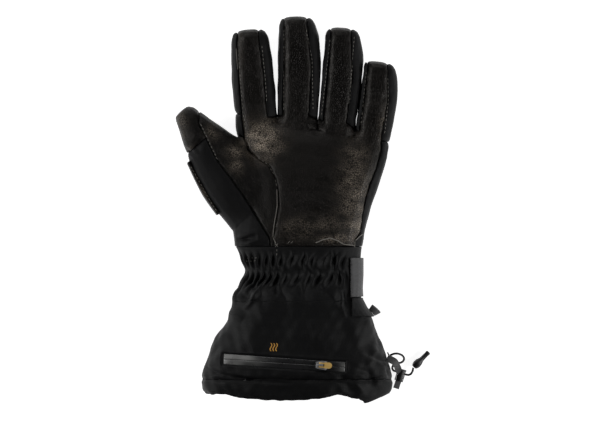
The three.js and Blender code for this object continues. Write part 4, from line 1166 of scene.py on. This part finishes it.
def make_tape(name, node, side):
    grid = []
    half = ZIP_LENGTH / 2 - TAPE_INSET
    for share in np.linspace(0, 1, TAPE_ROWS + 1):
        across = side * (TAPE_GAP / 2 + share * (ZIP_WIDTH / 2 - TAPE_INSET - TAPE_GAP / 2))
        lift = TAPE_CROWN * math.cos(math.pi / 2 * share) - TAPE_DROP
        grid.append([zip_point(along, across, lift) for along in np.linspace(-half, half, TAPE_COLUMNS + 1)])
    grid = np.array(grid)
    mesh = grid_mesh(name, grid, (ZIP_LENGTH, ZIP_WIDTH / 2), closed=False)
    points = vertex_points(mesh)
    # The tapes carry the painted-highlight mask too.
    store_painted_highlight(mesh, points, np.ones(len(points)))
    piece = enter(name, mesh, [coated_tape, coated_tape], [node])
    thicken(piece, TAPE_WALL)


skin_tree = cuff_surface()
make_tape("coated_tape_upper", "zip_tape_upper", 1)
make_tape("coated_tape_lower", "zip_tape_lower", -1)

# %% [markdown]
# Sewing thread shows as short bright stitches; the thread's light colour also paints the highlights that run
# along the seams. Each line was read off the photograph as pixels, and every stitch is a small rounded bead
# that lies on the cloth or leather under its place, turned along the line.

# %% Stitches
STITCH_LENGTH = 2.3 * MM
STITCH_PITCH = 3.4 * MM
STITCH_WIDTH = 0.55 * MM
STITCH_SEAT = 0.12


def stops_along(pixels, pitch):
    line = np.array([on_table(px, py) for px, py in pixels])
    run = np.concatenate([[0], np.cumsum(np.linalg.norm(np.diff(line, axis=0), axis=1))])
    at = np.arange(pitch / 2, run[-1], pitch)
    return np.stack([np.interp(at, run, line[:, 0]), np.interp(at, run, line[:, 1])], 1)


def lay_stitches(bm, tree, pixels, length=STITCH_LENGTH, pitch=STITCH_PITCH, width=STITCH_WIDTH):
    laid = []
    for x, y in stops_along(pixels, pitch):
        spot, normal = top_of(tree, x, y)
        if spot:
            laid.append((spot, normal))
    for k, (spot, normal) in enumerate(laid):
        before, after = laid[max(k - 1, 0)][0], laid[min(k + 1, len(laid) - 1)][0]
        way = (after - before).normalized() if len(laid) > 1 else Vector((0, 1, 0))
        side = normal.cross(way).normalized()
        turn = Matrix((way, side, way.cross(side))).transposed().to_4x4()
        size = Matrix.Diagonal((length / 2, width / 2, width / 2, 1))
        bmesh.ops.create_uvsphere(
            bm, u_segments=8, v_segments=4, radius=1.0,
            matrix=Matrix.Translation(spot + normal * STITCH_SEAT * width) @ turn @ size,
        )
    return len(laid)


def sewn_lines(name, pieces, slot, lines, **sizes):
    bm = bmesh.new()
    tree = faces_tree([evaluated(piece) for piece in pieces])
    count = sum(lay_stitches(bm, tree, line, **sizes) for line in lines)
    print(name, count, "stitches")
    enter(name, mesh_from(bm, name), [stitching_and_seam_highlight])


PALM_LINES = (
    ((258, 158), (268, 164.5), (274.5, 175), (277, 188)),
    ((262, 46), (265.5, 80), (267, 102)), ((306, 30), (312, 60), (313, 112)),
    ((354, 37), (349, 105)), ((387, 70), (388, 100), (384, 136)),
    ((238.5, 50), (243, 110), (246, 130)), ((284, 30), (284, 112)), ((330, 40), (325, 85), (321.5, 115)),
    ((366, 72), (361, 125)),
)
THUMB_LINES = (((201, 124), (210, 143), (218, 160)), ((191, 166), (213, 205), (217, 211)))
# Painted highlights, drawn as close lines of light beads: the leather's folded bottom edge and its corner.
EDGE_HIGHLIGHT_LINES = (
    ((316, 242.5), (323, 239.6), (330, 238), (337, 240.5), (343, 244), (354, 245.4)),
    ((354, 241.5), (358, 237.5), (362, 234)), ((354.3, 240), (354.3, 246)),
)
# Painted highlights along the thumb's seam ridge and the index finger's left seam.
RIDGE_HIGHLIGHT_LINES = (
    ((277, 190), (277.3, 206), (274, 226), (273, 237), (276, 243)), ((236.5, 50), (238, 70)),
)
WRIST_LINES = (((246, 258), (259, 257.5)), ((245, 261), (259, 260.5)), ((277, 248), (277, 256)))
TACK_LINES = (
    ((275.6, 243.6), (278, 246.4)), ((275.6, 246.4), (278, 243.6)),
    ((288, 243), (290, 241)), ((291, 243), (293, 241)),
)
# Beads so close that they make one continuous light line, for the painted highlights.
HIGHLIGHT_LINE_BEADS = {"length": 2.4 * MM, "pitch": 1.1 * MM}
TACK_STITCH = {"length": 1.6 * MM, "pitch": 1.0 * MM, "width": 0.5 * MM}
sewn_lines("palm_stitches", hand_pieces, "palm_leather", PALM_LINES)
sewn_lines("thumb_stitches", hand_pieces, "thumb_leather", THUMB_LINES)
# The next two lines are painted highlights; the others are stitches.
sewn_lines("leather_edge_highlight", hand_pieces, "palm_leather", EDGE_HIGHLIGHT_LINES, width=1.0 * MM, **HIGHLIGHT_LINE_BEADS)
sewn_lines("seam_ridge_highlight", hand_pieces, "palm_leather", RIDGE_HIGHLIGHT_LINES, **HIGHLIGHT_LINE_BEADS)
sewn_lines("wrist_stitches", sleeve_pieces, "softshell", WRIST_LINES, width=0.4 * MM)
sewn_lines("bar_tacks", hand_pieces, "palm_leather", TACK_LINES, **TACK_STITCH)

# %% [markdown]
# The pocket's sign is a plain heat sign, three waves printed on the cuff. Each wave is a thin ribbon of ink
# that lies on the finished cloth and follows its folds.

# %% Heat sign on the cuff
SIGN_MIDDLE = (274, 346)
WAVE_LENGTH = 6.6 * MM
WAVE_SWING = 0.7 * MM
WAVE_WIDTH = 0.9 * MM
WAVE_PITCH = 2.3 * MM
WAVE_STEPS = 32
INK_LIFT = 0.08 * MM
INK_THICKNESS = 0.06 * MM


def heat_wave(name, offset):
    middle = on_table(*SIGN_MIDDLE)
    grid = []
    for side in (-0.5, 0.0, 0.5):
        line = []
        for t in np.linspace(-0.5, 0.5, WAVE_STEPS + 1):
            x = middle[0] + offset + WAVE_SWING * math.sin(2 * math.pi * t) + side * WAVE_WIDTH
            spot, normal = top_of(cuff_tree, x, middle[1] + t * WAVE_LENGTH)
            line.append(spot + normal * INK_LIFT)
        grid.append(line)
    mesh = grid_mesh(name, np.array(grid), (WAVE_WIDTH, WAVE_LENGTH), closed=False)
    piece = enter(name, mesh, [print_ink, print_ink])
    thicken(piece, INK_THICKNESS)


cuff_tree = faces_tree([evaluated(sleeve_pieces[1])])
for k in range(3):
    heat_wave(f"heat_wave_{k + 1}", (k - 1) * WAVE_PITCH)

# %% [markdown]
# Light comes from two soft boxes beside the table and a weaker one beyond the fingertips, all of them low. A
# surface that faces the camera then mirrors dark air, and only what leans to a side catches a highlight,
# which is how black cloth and leather keep their depth on a white table.

# %% Table and light
WORLD_STRENGTH = 0.035
TABLE_GLOW = 0.85
TABLE_HALF = 4.0
TABLE_DROP = 0.5 * MM
AIM_HEIGHT = 20 * MM


def add_softbox(name, location, size, power):
    light = bpy.data.lights.new(name, "AREA")
    light.shape = "RECTANGLE"
    light.size, light.size_y = size
    light.energy = power
    holder = add_object(name, light)
    holder.location = location
    aim = Vector((0, 0, AIM_HEIGHT)) - Vector(location)
    holder.rotation_euler = aim.to_track_quat("-Z", "Y").to_euler()


add_softbox("softbox left", (-1.35, 0.15, 0.85), (0.9, 0.4), 11)
add_softbox("softbox right", (1.35, -0.3, 0.8), (0.9, 0.4), 11)
add_softbox("softbox top", (-0.25, 1.5, 0.8), (1.2, 0.4), 6)

world = bpy.data.worlds.new("studio")
world.use_nodes = True
world.node_tree.nodes["Background"].inputs["Color"].default_value = (1.0, 1.0, 1.0, 1.0)
world.node_tree.nodes["Background"].inputs["Strength"].default_value = WORLD_STRENGTH
bpy.context.scene.world = world

table_finish, _, table_shader = new_material("white table", (0.9, 0.9, 0.9), 0.9, 0.1)
table_shader.inputs["Emission Color"].default_value = (1.0, 1.0, 1.0, 1.0)
table_shader.inputs["Emission Strength"].default_value = TABLE_GLOW
bm = bmesh.new()
bmesh.ops.create_grid(bm, x_segments=4, y_segments=4, size=TABLE_HALF)
table = add_object("table", mesh_from(bm, "table"))
table.data.materials.append(table_finish)
table.location.z = -TABLE_DROP
bpy.context.scene.view_settings.view_transform = "Standard"
